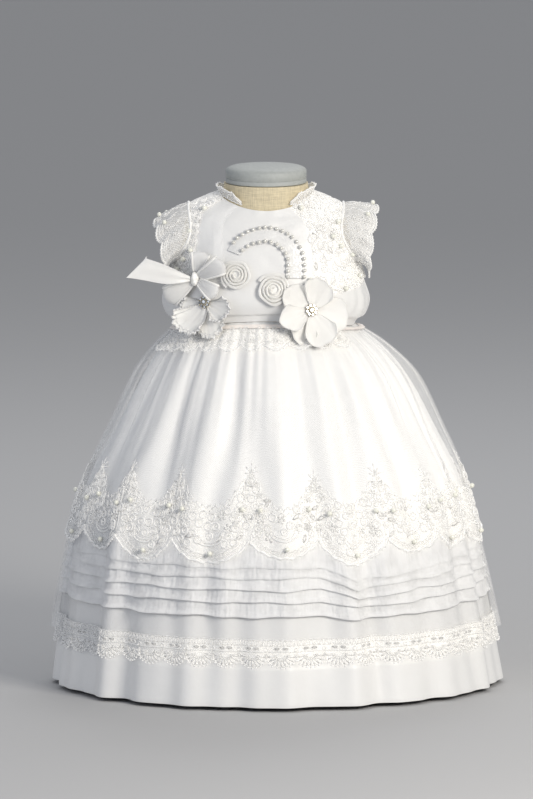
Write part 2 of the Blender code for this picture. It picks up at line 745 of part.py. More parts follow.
def make_yokes(lace):
    """Corded lace over the bodice's shoulders, in front and at the back."""
    across = np.linspace(0, 1, YOKE_COLUMNS)[None, :]
    gap = 2 * seam_angle(BODY["half_width"][NECKLINE_LEVEL])
    for name, (foot_inner, neck_inner, foot_level, side, start) in YOKES.items():
        levels = np.tile(YOKE_LEVELS[:, None], (1, YOKE_COLUMNS))
        levels[0] = foot_level + (YOKE_LEVELS[0] - foot_level) * across[0]
        inner_edge = np.interp(levels[:, :1], (UNDERARM_LEVEL, NECKLINE_LEVEL), (foot_inner, neck_inner))
        outer_edge = armhole_azimuth(YOKE_LEVELS[:, None]) - gap
        turned = inner_edge + (outer_edge - inner_edge) * across
        azimuths = start + side * turned if start == 0 else start - side * turned
        inner = bodice_point(levels, azimuths, YOKE_LIFT)
        add_wall(name, inner, bodice_point(levels, azimuths, YOKE_LIFT + LACE), lace)


def make_drape(organza):
    """The organza drape between the left front yoke and the chest."""
    levels = DRAPE_LEVELS[:, None]
    span = (UNDERARM_LEVEL, NECKLINE_LEVEL)
    yoke = np.interp(levels, span, YOKES["lace_yoke_front_left"][:2]) - DRAPE_GAP
    inside = np.interp(levels, span, DRAPE_INNER)
    azimuths = -(inside + (yoke - inside) * np.linspace(0, 1, DRAPE_COLUMNS)[None, :])
    inner = bodice_point(levels, azimuths, DRAPE_LIFT)
    add_wall("organza_drape", inner, bodice_point(levels, azimuths, DRAPE_LIFT + LACE), organza)


def make_sleeves(lace):
    """Scalloped cap sleeves that stand out all round the armholes."""
    turn = np.arange(SLEEVE_COLUMNS)[None, :] * 2 * np.pi / SLEEVE_COLUMNS
    middle = (UNDERARM_LEVEL + SHOULDER_LEVEL) / 2
    half = SLEEVE_ROOT * (SHOULDER_LEVEL - UNDERARM_LEVEL) / 2
    scallop = 1 + SLEEVE_SCALLOP * np.abs(np.sin(np.pi * np.arange(SLEEVE_COLUMNS) / SLEEVE_PITCH))
    for row in range(len(SLEEVES["side"])):
        size = {name: values[row] for name, values in SLEEVES.items()}
        azimuths = size["side"] * (90 + SLEEVE_ROOT * ARMHOLE_REACH * np.cos(turn))
        root = bodice_point(middle + half * np.sin(turn), azimuths, SLEEVE_LIFT)
        edge_x = size["edge_x"] + size["droop_x"] * np.clip(np.sin(turn), 0, 1)
        edge_y = size["half_depth"] * np.cos(turn)
        edge_z = size["centre_height"] + size["half_height"] * np.sin(turn)
        edge = np.stack([size["side"] * edge_x, edge_y, edge_z], axis=-1)
        reach = (edge - root) * scallop[None, :, None]
        sheet = np.concatenate([root, root + reach / 2, root + reach])
        sheet[1] += bodice_normal(middle + half * np.sin(turn), azimuths)[0] * SLEEVE_BULGE
        normals = sheet_normals(sheet, wrapped=True) * size["side"]
        name = "sleeve_right" if size["side"] > 0 else "sleeve_left"
        add_wall(name, sheet, sheet + normals * LACE, lace, wrapped=True)


def make_neck_lace(lace):
    """Scalloped lace that stands up round the neck, open at the centre front."""
    steps = np.arange(NECK_LACE_STEPS + 1)
    azimuth = np.interp(steps, (0, NECK_LACE_STEPS), (NECK_LACE["azimuth"][0], NECK_LACE["azimuth"][-1]))
    height = np.interp(azimuth, NECK_LACE["azimuth"], NECK_LACE["height"])
    height = height + NECK_LACE_WAVE * np.abs(np.sin(np.pi * steps / NECK_LACE_PITCH))
    for name, side in (("neck_lace_right", 1), ("neck_lace_left", -1)):
        foot = body_point(NECKLINE_LEVEL, side * azimuth) + (0, 0, NECK_LACE_FOOT)
        outward = unit(foot * (1, 1, 0))
        top = foot + height[:, None] * (0, 0, 1) + outward * NECK_LACE_LEAN
        inner = np.stack([top, foot])
        add_wall(name, inner, inner + outward * LACE, lace)


def make_arch(ribbon):
    """The curved ribbon band of the chest: a straight leg on the right, then an arch."""
    turns = np.linspace(0, ARCH["turn"][-1], ARCH_ROWS)
    inside = np.interp(turns, ARCH["turn"], ARCH["inner"])
    outside = np.interp(turns, ARCH["turn"], ARCH["outer"])
    lines = []
    for radius in (inside, (inside + outside) / 2, outside):
        line = [(ARCH_CENTRE_X + radius[0], ARCH_CENTRE_HEIGHT - ARCH_LEG * share) for share in (1, 0.5)]
        x = ARCH_CENTRE_X + radius * np.cos(np.radians(turns))
        height = ARCH_CENTRE_HEIGHT + radius * np.sin(np.radians(turns))
        lines.append(line + list(zip(x, height)))
    places = np.array([[front_place(x, height) for x, height in line] for line in lines])
    inner = bodice_point(places[..., 0], places[..., 1], ARCH_LIFT)
    outer = bodice_point(places[..., 0], places[..., 1], ARCH_LIFT + LACE)
    add_wall("pearl_band", inner, outer, ribbon)


def make_rosettes(satin):
    """Rolled ribbon rosettes: a low dome whose outer side winds in a raised spiral."""
    turn = np.arange(ROSETTE_COLUMNS)[:, None] * 2 * np.pi / ROSETTE_COLUMNS
    for name, (x, height, radius, lift) in ROSETTES.items():
        foot, normal = front_point(x, height, lift)
        right, up, normal = face_frame(normal, (0, 0, 1))
        circle = right * np.cos(turn) + up * np.sin(turn)
        rings = [foot + circle * radius * ROSETTE_FOOT]
        for share in ROSETTE_SHARES:
            spiral = np.cos(ROSETTE_TURNS * 2 * np.pi * share - turn)
            rise = ROSETTE_DOME * (ROSETTE_CROWN - share**2) + ROSETTE_RIDGE * spiral
            rings.append(foot + circle * radius * share + normal * np.maximum(rise, ROSETTE_LEAST))
        add_stack(name, rings, satin)


def petal_sheet(centre, frame, petal):
    """A petal's lower sheet: a spoon that widens from its root and curls up at its tip."""
    right, up, normal = frame
    turn = math.radians(petal["direction"])
    along = right * math.cos(turn) + up * math.sin(turn)
    aside = np.cross(normal, along)
    share = PETAL_SHARES[:, None, None]
    across = np.linspace(-1, 1, PETAL_COLUMNS_ACROSS)[None, :, None]
    reach = PETAL_ROOT + share * (petal["length"] - PETAL_ROOT) * (1 - PETAL_ROUND * across**2)
    narrow, wide = PETAL_WIDTHS
    width = petal["half_width"] * np.sin(np.pi * (narrow + (wide - narrow) * share))
    cup = PETAL_CUPS[int(petal["layer"])] * share * across**2
    rise = petal["layer"] * PETAL_LAYER + petal["rise"] * share**2 + cup
    return centre + along * reach + aside * width * across + normal * rise


def make_flowers(satin, jewel):
    """Two cloth flowers, petal by petal in two layers, with a jewel on each."""
    for name, flower in FLOWERS.items():
        centre, normal = front_point(*flower["place"], flower["lift"])
        frame = face_frame(unit(normal * (1, 1, 0)) + (0, 0, flower["tilt"]), (0, 0, 1))
        petals = flower["petals"]
        for number in range(len(petals["length"])):
            petal = {column: values[number] for column, values in petals.items()}
            sheet = petal_sheet(centre, frame, petal)
            add_wall(f"{name}_petal_{number + 1}", sheet, sheet + frame[2] * PETAL, satin)
        foot = centre + frame[2] * (PETAL_LAYER + PETAL + JEWEL_GAP)
        rings = dome_rings(foot, frame, JEWEL_RADIUS, JEWEL_HEIGHT, JEWEL_PROFILE, JEWEL_COLUMNS)
        add_stack(name.replace("flower", "jewel"), rings, jewel)


def make_loop(name, root, direction, normal, length, width, satin):
    """A ribbon loop: a strip that runs out from the knot, turns, and comes back behind itself."""
    share = np.linspace(LOOP_OPEN, 1 - LOOP_OPEN, LOOP_ROWS)[:, None, None]
    across = np.linspace(-0.5, 0.5, 2)[None, :, None]
    aside = np.cross(normal, direction)
    along = length * (1 - np.cos(2 * np.pi * share)) / 2
    off = LOOP_HALF_DEPTH * np.sin(2 * np.pi * share) * np.sin(np.pi * share)
    breadth = width * (LOOP_NECK + (1 - LOOP_NECK) * np.sin(np.pi * share) ** LOOP_SWELL)
    sheet = root + direction * along + normal * off + aside * breadth * across
    outward = sheet_normals(sheet)
    centre = root + direction * length * 0.5
    if ((sheet - centre) * outward).sum() < 0:
        outward = -outward
    add_wall(name, sheet, sheet + outward * SATIN_RIBBON, satin)


def make_bow(satin):
    """The ribbon bow on the left of the chest: knot, four loops and one tail."""
    knot, normal = front_point(KNOT_X, KNOT_HEIGHT, KNOT_LIFT)
    right, up, outward = face_frame(normal * KNOT_TURN, (0, 0, 1))
    turn = np.arange(KNOT_COLUMNS)[:, None] * 2 * np.pi / KNOT_COLUMNS
    wide, deep, tall = KNOT_HALF
    rings = []
    for slope in np.radians(KNOT_SLOPES):
        ring = right * wide * np.cos(turn) + outward * deep * np.sin(turn)
        rings.append(knot + ring * math.cos(slope) + up * tall * math.sin(slope))
    add_stack("bow_knot", rings, satin)
    front = np.array([0.0, -1.0, 0.0])
    for name, (angle, length, width, start, lean) in LOOPS.items():
        turned = math.radians(angle)
        direction = unit(np.array([math.cos(turned), lean * abs(math.cos(turned)), math.sin(turned)]))
        face = unit(front - direction * np.dot(front, direction))
        make_loop(name, knot + direction * start, direction, face, length, width, satin)
    reach = TAIL["reach"][:, None]
    across = np.linspace(-1, 1, TAIL_COLUMNS)[None, :]
    cut = np.where(reach == reach.max(), TAIL_CUT * across, 0.0)
    x = knot[0] - reach - cut
    y = knot[1] - TAIL["forward"][:, None] + 0 * across
    z = knot[2] + TAIL["drop"][:, None] + TAIL["half_width"][:, None] * across
    tail = np.stack([x, y, z], axis=-1)
    add_wall("bow_tail", tail, tail + front * SATIN_RIBBON, satin)


def make_form(linen, cap, metal):
    """The limbless dress form: linen torso and neck, neck cap, pole and round base."""
    azimuths = np.arange(FORM_COLUMNS)[None, :] * 360 / FORM_COLUMNS
    levels = np.arange(HIP_LEVEL, NECK_TOP_LEVEL + 1)[:, None].astype(float)
    rings = body_point(levels, azimuths, eased=0.0)
    foot = rings[:1] * (FORM_FOOT, FORM_FOOT, 1) - (0, 0, FORM_FOOT_DROP)
    add_stack("form_torso", np.concatenate([foot, rings]), linen)
    top = BODY["side_height"][NECK_TOP_LEVEL]
    turn = np.radians(azimuths[0])[:, None]
    circle = np.concatenate([np.sin(turn), -np.cos(turn), 0 * turn], axis=1)
    rings = [circle * CAP_RADIUS * out + (0, 0, top + SEAM + rise) for out, rise in CAP_PROFILE]
    add_stack("form_neck_cap", rings, cap)
    pole_foot = BASE_THICKNESS + SEAM
    pole_top = BODY["side_height"][HIP_LEVEL] - FORM_FOOT_DROP - SEAM
    slim = circle[::2]
    add_stack("form_pole", [slim * POLE_RADIUS + (0, 0, z) for z in (pole_foot, pole_top)], metal)
    profile = [
        (BASE_RADIUS, 0),
        (BASE_RADIUS, BASE_THICKNESS - BASE_BEVEL),
        (BASE_RADIUS - BASE_BEVEL, BASE_THICKNESS),
        (POLE_RADIUS, BASE_THICKNESS),
    ]
    add_stack("form_base", [circle * radius + (0, 0, z) for radius, z in profile], metal)


def main():
    clear_scene()
    satin = make_material("white satin", SATIN_WHITE, 0.42)
    net = make_material("white net", NET_WHITE, 0.8)
    lace = make_material("corded lace", LACE_WHITE, 0.75)
    ribbon = make_material("cream ribbon", RIBBON_CREAM, 0.5)
    linen = make_material("linen", LINEN, 0.9)
    cap = make_material("grey cap", CAP_GREY, 0.6)
    metal = make_material("white metal", SATIN_WHITE, 0.4, 0.2)
    jewel = make_material("jewel", JEWEL_SILVER, 0.15, 0.9)
    make_form(linen, cap, metal)
    make_bodice(satin)
    make_placket(satin)
    make_yokes(lace)
    make_drape(net)
    make_sleeves(lace)
    make_neck_lace(lace)
    make_waist(lace, ribbon)
    make_underskirt(satin)
    make_tier(satin)
    make_tier_trim(lace)
    make_net_tier(net)
    make_overlay(net)
    make_lace_border(lace)
    make_arch(ribbon)
    make_rosettes(satin)
    make_flowers(satin, jewel)
    make_bow(satin)


main()
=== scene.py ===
"""Finished cloth, lace, pearls and bow of a baby's christening gown on its dress form.

Sizes in the tables are millimetres and degrees. The origin is on the floor under the form's pole, the front
faces -Y and +X is the viewer's right. An azimuth is 0 at the front centre and grows towards +X. Every layer
of cloth is a closed thin shell on one of two forms, the body's rings or the skirt's rings, moved out by a lift.
"""

import functools
import itertools
import math

import bpy
import numpy as np
from bpy.props import FloatProperty, FloatVectorProperty
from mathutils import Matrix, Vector
from numpy import arange, clip, concatenate, cos, exp, interp, linspace, pi, radians, sin, stack, where


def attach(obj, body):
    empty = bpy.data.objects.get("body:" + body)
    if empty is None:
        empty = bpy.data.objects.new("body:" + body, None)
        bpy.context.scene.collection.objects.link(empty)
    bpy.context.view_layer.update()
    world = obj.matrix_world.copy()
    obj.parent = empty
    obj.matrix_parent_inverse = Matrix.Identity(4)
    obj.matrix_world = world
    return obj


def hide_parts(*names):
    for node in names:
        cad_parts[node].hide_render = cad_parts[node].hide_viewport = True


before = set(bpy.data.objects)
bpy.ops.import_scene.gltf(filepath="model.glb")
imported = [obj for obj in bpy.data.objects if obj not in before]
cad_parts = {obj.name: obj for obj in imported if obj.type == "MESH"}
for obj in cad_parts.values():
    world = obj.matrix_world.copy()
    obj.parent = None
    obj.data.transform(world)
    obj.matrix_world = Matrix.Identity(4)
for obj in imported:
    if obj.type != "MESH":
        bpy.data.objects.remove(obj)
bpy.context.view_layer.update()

bl_info = {
    "name": "Christening Gown",
    "version": (1, 0, 0),
    "blender": (4, 5, 0),
    "location": "View3D > Sidebar > Gown",
    "description": "Builds the cloth, lace, pearls and bow of a baby's christening gown",
    "category": "Object",
}

# A millimetre in metres, the walls of cloth, the gap between pieces, and the step for measuring on a surface.
MM = 0.001
CLOTH = 1.2
LACE = 1.1
GAP = 0.4
NEAR = 0.05
NET_GROUND = 0.6
STANDING_NET = 0.7
TULLE = 0.8
HEM_HEIGHT = 4.0
WAIST_HEIGHT = 361.0


def table(names, rows):
    """Columns by name, from one row of values for each section."""
    columns = zip(*rows)
    return {name: np.array(column, float) for name, column in zip(names.split(), columns)}


def rows_of(columns):
    """A table's rows, each as values by name."""
    return [dict(zip(columns, row)) for row in zip(*columns.values())]


# ---- tables of the cut

BODY = table("half_width side_height front_depth front_height back_depth back_height side_ease depth_ease rise", [
    (64, 270, 48, 270, 46, 270, 0, 0, 0),
    (77, 278, 58, 278, 55, 278, 0, 0, 0),
    (81, 308, 61, 308, 57, 308, 4, 4, 0),
    (79, 361, 59, 372, 55, 356, 8, 8, 0),
    (80, 373, 60, 382, 56, 369, 18, 11, 0),
    (82, 387, 61, 392, 57, 384, 20, 12, 0),
    (84, 404, 61, 407, 58, 403, 13, 9, 0),
    (85, 424, 60, 424, 58, 424, 6, 6, 0),
    (84, 447, 57, 443, 56, 443, 3, 4, 0.6),
    (81, 465, 53, 455, 53, 456, 2.0, 2.5, 0.9),
    (73, 477, 49, 464, 49, 466, 1.9, 2.2, 1.9),
    (57.5, 485.5, 45.5, 471.5, 46, 475, 1, 1.6, 1.5),
    (45, 491, 42.6, 479, 43, 484, 1, 1.2, 1.2),
    (42.6, 497, 41.4, 489, 42, 491, 0.8, 1, 0.9),
    (42, 503.5, 41, 503.5, 41, 503.5, 0.8, 1, 0.9),
])
ROUNDNESS = 2.2
# Levels of the body, counted in the table's rows.
WAIST_LEVEL, UNDERARM, SHOULDER, NECKLINE, NECK_TOP = 3, 7, 10, 12, 14
WAIST_SEAM = 3.015
ARMHOLE_REACH = 33.0

# Creases of the bodice: place, direction, half length, half width and depth of each soft trough.
CREASES = table("azimuth level turn length width depth", [
    (62, 5.2, 78, 16, 3.2, 1.5), (74, 4.6, 96, 15, 3.4, 1.8), (50, 4.4, 66, 13, 3.0, 1.0),
    (86, 5.4, 102, 15, 3.6, 1.7), (-62, 4.8, 100, 15, 3.4, 1.3), (-78, 5.2, 84, 16, 3.4, 1.6),
    (-48, 4.5, 108, 12, 3.0, 1.0), (8, 9.8, 12, 22, 4.5, 0.7), (-14, 8.6, 160, 18, 4.2, 0.6),
    (20, 11.0, 170, 16, 3.6, 0.6), (-6, 5.6, 35, 14, 4.0, 0.6), (2, 7.4, 150, 16, 4.4, 0.5),
    (150, 5.0, 96, 17, 3.6, 1.4), (128, 5.4, 80, 15, 3.6, 1.5), (108, 4.8, 104, 14, 3.2, 1.4),
    (-150, 4.8, 84, 16, 3.4, 1.4), (-130, 5.3, 98, 16, 3.6, 1.5), (-108, 5.0, 78, 14, 3.2, 1.4),
    (166, 8.4, 20, 18, 4.2, 0.6), (-166, 9.2, 160, 18, 4.2, 0.6),
])

SKIRT = table("height left right front back fold", [
    (WAIST_HEIGHT, 87, 87, 67, 63, 0.15),
    (335, 107, 119, 92, 90, 0.6),
    (305, 124, 142, 114, 112, 0.95),
    (262, 147, 165, 137, 137, 1.0),
    (215, 172, 189, 161, 161, 1.0),
    (178, 186, 202, 174, 175, 0.9),
    (HEM_HEIGHT, 211, 234, 204, 208, 0.75),
])
WAIST_RISE_FRONT = 11.0
WAIST_DIP_BACK = 5.0
WAIST_RISE_ENDS = 305.0
FOLD_REACH = 4.6
FOLD_FILL = 1.6
FOLD_DEEPER = 0.4
FOLD_DRIFT = 1.3
FOLDS = table("azimuth depth", [
    (-170, 6), (-155, 7), (-140, 5), (-125, 8), (-110, 6), (-95, 7), (-80, 5), (-65, 7),
    (-55, 5), (-40, 9), (-30, 6), (-15, 8), (-5, 4), (15, 8), (30, 9), (45, 7),
    (60, 6), (75, 7), (95, 5), (110, 8), (125, 6), (140, 7), (155, 5), (170, 8),
])
SKIRT_ROWS = 180
SKIRT_COLUMNS = 720

TIER_TOP = 178.0
TIER_HEM = 68.0
TIER_LIFT = CLOTH + 0.7
# A tuck's outer line from below: in under it, out to its lip, then up over its shoulder.
TUCK_PROFILE = [(1.4, -0.35), (0.3, -0.1), (-0.8, 0.8), (-1.1, 1.4), (-0.4, 1.75), (2.2, 0.9)]
# Share of the profile's depth that each tuck has, from the lowest up.
TUCK_DEPTHS = (1.4, 1.35, 1.3, 1.0, 0.6)
BAND_STEPS, TUCK_STEPS = 6, 4
TUCKS = table("height sag", [(141, 16), (131, 14), (119.5, 11), (107.5, 8), (93.5, 5)])
SAG = table("azimuth share", [(-180, 0), (15, 0), (20, 0.45), (25, 1), (35, 0.72), (60, 0.3), (80, 0), (180, 0)])
TRIM_TOP = 71.0
TRIM_VALLEY = 50.0
TRIM_FAN = 6.0
TRIM_PITCH = 7.5
TRIM_LIFT = TIER_LIFT + CLOTH + GAP
NET_ENDS = 80.0
NET = table("height lift", [(57, 8.6), (142, 5.2), (176, 3.6)])

OVERLAY = table("height lift back_lift gather", [
    (140, 3.7, 3.8, 0.35), (178, 3.7, 1.7, 0.4), (215, 5.8, 0.6, 0.6), (262, 8.5, 0, 0.9),
    (305, 10, 0, 1.2), (335, 5.5, 0, 0.9), (361, 1.7, 0, 0.2),
])
BACK_LIFT_FROM = 65.0
BACK_LIFT_FULL = 75.0
SCALLOPS = table("start tip_height peak_height", [
    (-180, 146, 236), (-155, 145, 232), (-135, 146, 238), (-110, 144, 230), (-90, 146, 236),
    (-70, 147, 232), (-50, 143, 238), (-30, 144, 236), (-5, 150, 240), (15, 141, 232),
    (35, 149, 236), (55, 147, 230), (70, 146, 238), (90, 145, 234), (110, 146, 238),
    (135, 144, 232), (155, 146, 236), (180, 146, 236),
])
VALLEY = 166.0
SCALLOP_ROUND = 0.7
PEAK_TOP = 12.0
FESTOON_HEIGHT = 199.0
FESTOON_POWER = 3.4
FILL_PITCH = 3.0
BORDER_ROWS, TULLE_ROWS = 24, 46
# Ring florets on each flank of a peak: height over the valley, degrees aside and size.
CLIMBERS = [(6, 2.2, 4.2), (14, 3.6, 4.6), (23, 4.4, 4.4), (32, 3.4, 4.2), (41, 2.3, 3.8), (49, 1.6, 3.2)]

RIBBON = table("height lift", [(355, 4.4), (359.0, 3.5)])
PEPLUM = table("azimuth height", [(-75, 338), (-40, 340), (0, 341), (47.5, 343)])
PEPLUM_TOP = 353.5
PEPLUM_PITCH = 12.25
PEPLUM_SCALLOP = 4.5
PEPLUM_GAP = 1.4

# Azimuth of the inner edge at the underarm and at the neckline, the foot's level, side, start and flat cut.
YOKES = {
    "lace_yoke_front_right": (28.0, 31.0, 5.4, 1, 0, (0.07, 0.10)),
    "lace_yoke_front_left": (47.0, 60.0, 5.6, -1, 0, (0.04, 0.095)),
    "lace_yoke_back_right": (16.0, 24.0, 5.6, 1, 180, (0.08, 0.10)),
    "lace_yoke_back_left": (16.0, 24.0, 5.6, -1, 180, (0.08, 0.10)),
}
YOKE_TOP_FOOT_LEVEL = 6.2
YOKE_LIFT = CLOTH + 0.85
DRAPE_FOOT_LEVEL = 6.3
DRAPE_INNER = (26.0, 36.0)
DRAPE_GAP = 1.5
DRAPE_LIFT = CLOTH + 1.0

SLEEVES = table("side edge_x droop_x centre_height half_height half_depth", [
    (-1, 101, 7, 438, 28, 42), (1, 103, 5, 446, 33, 42),
])
SLEEVE_LOBES = 9
SLEEVE_SCALLOP = 0.16
SLEEVE_BULGE = 2.0
SLEEVE_LIFT = YOKE_LIFT + LACE + 1.2
SLEEVE_ROOT = 1.02
NECK_LACE = table("azimuth height", [(30, 3), (42, 7), (56, 8), (75, 5), (130, 5), (170, 6)])
NECK_LOBES = 6
NECK_LACE_WAVE = 2.0
NECK_LACE_LEAN = 1.5
NECK_LACE_FOOT = 2.4

ARCH_CENTRE_X = 2.0
ARCH_CENTRE_HEIGHT = 428.0
ARCH = table("turn inner outer", [(0, 17.5, 36.5), (60, 19.5, 36.5), (110, 21.5, 37.5), (160, 29, 42)])
ARCH_LEG = 12.5
ARCH_LIFT = CLOTH + 0.5
ARCH_PEARL_PITCH = 5.8

ROSETTES = {"rosette_left": (-29.0, 418.0, 15.0, 2.7), "rosette_right": (7.5, 404.0, 17.0, 2.1)}
ROSETTE_TURNS = 4.3
ROSETTE_CROWN = 7.0

PETAL_COLUMNS = "direction length half_width layer rise"
FLOWERS = {
    "flower_right": {
        "place": (43.0, 385.0),
        "lift": 3.9,
        "tilt": 0.24,
        "frill": 0.0,
        "petals": table(
            PETAL_COLUMNS,
            [
                (135, 33, 13, 0, 6), (245, 36, 12, 0, 6), (355, 38, 16, 0, 5),
                (60, 31, 14, 1, 5), (203, 36, 12, 1, 7), (290, 38, 15, 1, 6),
            ],
        ),
    },
    "flower_left": {
        "place": (-59.5, 391.0),
        "lift": 0.7,
        "tilt": 0.2,
        "frill": 0.2,
        "petals": table(
            PETAL_COLUMNS,
            [(208, 29, 12, 0, 4), (288, 36, 13, 0, 5), (242, 37, 14, 1, 6), (332, 30, 11, 1, 5)],
        ),
    },
}
PETAL = 0.9
PETAL_LAYER = 1.7
PETAL_ROOT = 4.5
PETAL_CAP = 0.58
PETAL_EASE = 1.14
PETAL_CUPS = (-1.0, 2.0)
JEWEL_RADIUS = 6.5
JEWEL_GAP = 0.6

KNOT_X = -65.5
KNOT_HEIGHT = 412.0
KNOT_HALF = (4.0, 5.6, 7.2)
KNOT_LIFT = 9.4
KNOT_TURN = (0.6, 1, 0)
LOOPS = {
    "bow_loop_upper": (78, 20, 17, 7.4, -0.2),
    "bow_loop_upper_right": (32, 32, 18, 5.1, -0.62),
    "bow_loop_lower_right": (-33, 24, 16, 5.2, -0.75),
    "bow_loop_lower_left": (-143, 33, 21, 5.2, 0.46),
}
LOOP_OPEN = 0.045
LOOP_HALF_DEPTH = 4.2
LOOP_NECK = 0.26
LOOP_SWELL = 1.2
LOOP_ROUND = 0.14
TAIL = table("reach drop half_width forward", [
    (4.6, 0, 2.4, 1), (16, 2, 6, 3.5), (30, 5, 9.5, 4), (46, 9, 11, 3), (58, 12, 10.5, 2),
])
TAIL_CUT = -10.5
RIBBON_THICK = 0.9

BUTTON_LEVELS = (4.3, 6.6, 9.0, 11.3)
BUTTON_RADIUS = 4.5
BUTTON_HEIGHT = 2.2
PLACKET_HALF_WIDTH = 6.5
PLACKET_LIFT = CLOTH + 0.6

FORM_FOOT = 0.55
FORM_FOOT_DROP = 5.0
CAP_RADIUS = 40.5
CAP_HEIGHT = 17.75
SEAM = 0.3
POLE_RADIUS = 9.0
BASE_RADIUS = 112.0
BASE_THICKNESS = 9.0
BASE_BEVEL = 2.5

# The stage: half the floor's width, and a camera that looks down from far off, in metres and radians.
FLOOR_REACH = 40.0
SENSOR = 36.0
CAMERA_DISTANCE = 20.0
CAMERA_VIEW_HEIGHT = 0.799
CAMERA_TILT = math.asin(0.139)
CAMERA_AIM = (0.0005, 0.0, 0.2846)

# Loose pearls sewn on the lace: x and height, seen from the front.
YOKE_PEARLS = {
    "lace_yoke_front_right": [
        (34, 480), (69, 467), (64, 454), (72, 444), (82, 434), (90, 412), (77, 402), (43, 413),
    ],
    "lace_yoke_front_left": [(-73, 458), (-72, 440), (-79, 430), (-85, 419), (-60, 478)],
}


# ---- curves and forms


def unit(vectors):
    """Vectors of length 1 along the last axis."""
    return vectors / np.maximum(np.linalg.norm(vectors, axis=-1, keepdims=True), 1e-9)


def aligned(*values):
    """Arrays of numbers, stretched to one shape."""
    return np.broadcast_arrays(*(np.asarray(value, float) for value in values))


def as_columns(*values):
    """The same arrays, each as a column that holds one place in a row."""
    return [value.reshape(-1, 1) for value in aligned(*values)]


def wrapped_turn(azimuth):
    """The same azimuth between -180 and 180."""
    return (azimuth + 180) % 360 - 180


def row_of(first, last, count):
    """Evenly spaced values as one row."""
    return linspace(first, last, count)[None, :]


def column_of(first, last, count):
    """Evenly spaced values as one column."""
    return linspace(first, last, count)[:, None]


def lattice(*counts):
    """Whole numbers that count along each side of a grid."""
    return np.meshgrid(*map(arange, counts), indexing="ij")


def sine_cosine(degrees):
    """Sine and cosine of an angle in degrees."""
    return sin(radians(degrees)), cos(radians(degrees))


def round_turn(count):
    """Angles evenly spaced round a whole turn."""
    return arange(count) * 2 * pi / count


def smooth(values, place):
    """A smooth cubic through evenly spaced values, read at a place counted in rows."""
    most = len(values) - 1
    low = clip(np.floor(place).astype(int), 0, most - 1)
    part = place - low
    before = values[np.maximum(low - 1, 0)]
    first = values[low]
    second = values[low + 1]
    after = values[np.minimum(low + 2, most)]
    slope = second - before
    bend = 2 * before - 5 * first + 4 * second - after
    twist = 3 * first - before - 3 * second + after
    return first + 0.5 * part * (slope + part * (bend + part * twist))


def curve(places, values, at):
    """A smooth line through values at uneven places, whose slopes never overshoot (harmonic means)."""
    step = np.diff(places)
    rise = np.diff(values) / step
    slope = concatenate([rise[:1], np.zeros(len(rise) - 1), rise[-1:]])
    same = rise[:-1] * rise[1:] > 0
    slope[1:-1] = where(same, 2 * rise[:-1] * rise[1:] / where(same, rise[:-1] + rise[1:], 1), 0)
    low = clip(np.searchsorted(places, at, side="right") - 1, 0, len(step) - 1)
    part = clip((at - places[low]) / step[low], 0, 1)
    rest = 1 - part
    ends = values[low] * rest**2 * (1 + 2 * part) + values[low + 1] * part**2 * (1 + 2 * rest)
    return ends + step[low] * part * rest * (slope[low] * rest - slope[low + 1] * part)


def ripple(azimuth, height, seed, fewest, most, slant=0.0):
    """Uneven waves round a ring: the mean of eight sines of whole wave counts, drifting with height."""
    draw = np.random.default_rng(seed)
    counts = draw.integers(fewest, most + 1, 8)
    phases = draw.uniform(0, 2 * pi, 8)
    drifts = draw.uniform(-slant, slant, 8)
    shares = draw.uniform(0.5, 1.0, 8)
    total = 0.0
    for count, phase, drift, share in zip(counts, phases, drifts, shares):
        total = total + share * sin(radians(azimuth) * count + phase + drift * height)
    return total / 2.2


def body_point(level, azimuth, eased=1.0):
    """A point of the dress form, or of the bodice when eased is 1: a rounded oval at each level."""
    level, azimuth = aligned(level, azimuth)
    row = {name: smooth(values, level) for name, values in BODY.items()}
    sine, cosine = sine_cosine(azimuth)
    front = cosine > 0
    half_width = row["half_width"] + eased * row["side_ease"]
    depth = where(front, row["front_depth"], row["back_depth"]) + eased * row["depth_ease"]
    end_height = where(front, row["front_height"], row["back_height"])
    bulge = (np.abs(sine) ** ROUNDNESS + np.abs(cosine) ** ROUNDNESS) ** (-1 / ROUNDNESS)
    height = row["side_height"] + (end_height - row["side_height"]) * cosine**2 + eased * row["rise"]
    return stack([half_width * sine * bulge, -depth * cosine * bulge, height], axis=-1)


def body_normal(level, azimuth):
    """The bodice's outward direction, level at the waist seam so that the edge is cut square."""
    level, azimuth = aligned(level, azimuth)
    turn = body_point(level, azimuth + 0.5) - body_point(level, azimuth - 0.5)
    climb = body_point(level + 0.02, azimuth) - body_point(level - 0.02, azimuth)
    normal = np.cross(turn, climb)
    normal[..., 2] *= clip((level - WAIST_LEVEL - 0.05) / 0.6, 0, 1)
    return unit(normal)


def crease_depth(level, azimuth):
    """Depth of the soft troughs: each is a bell across its width that fades along its length."""
    total = 0.0
    for one in rows_of(CREASES):
        turn = radians(one["turn"])
        aside = wrapped_turn(azimuth - one["azimuth"]) * 1.45
        above = (level - one["level"]) * 14
        along = aside * cos(turn) + above * sin(turn)
        across = above * cos(turn) - aside * sin(turn)
        bell = exp(-((across / one["width"]) ** 2) - (along / one["length"]) ** 4)
        total = total + one["depth"] * bell
    return total


def gather_height(level, azimuth):
    """Small gathers above the waist seam, and a faint unevenness elsewhere."""
    near = exp(-(np.maximum(level - WAIST_LEVEL, 0) / 0.9))
    return 0.35 * near * ripple(azimuth, level, 5, 60, 110, 0.6) + 0.3 * ripple(azimuth, level, 6, 9, 22, 1.1)


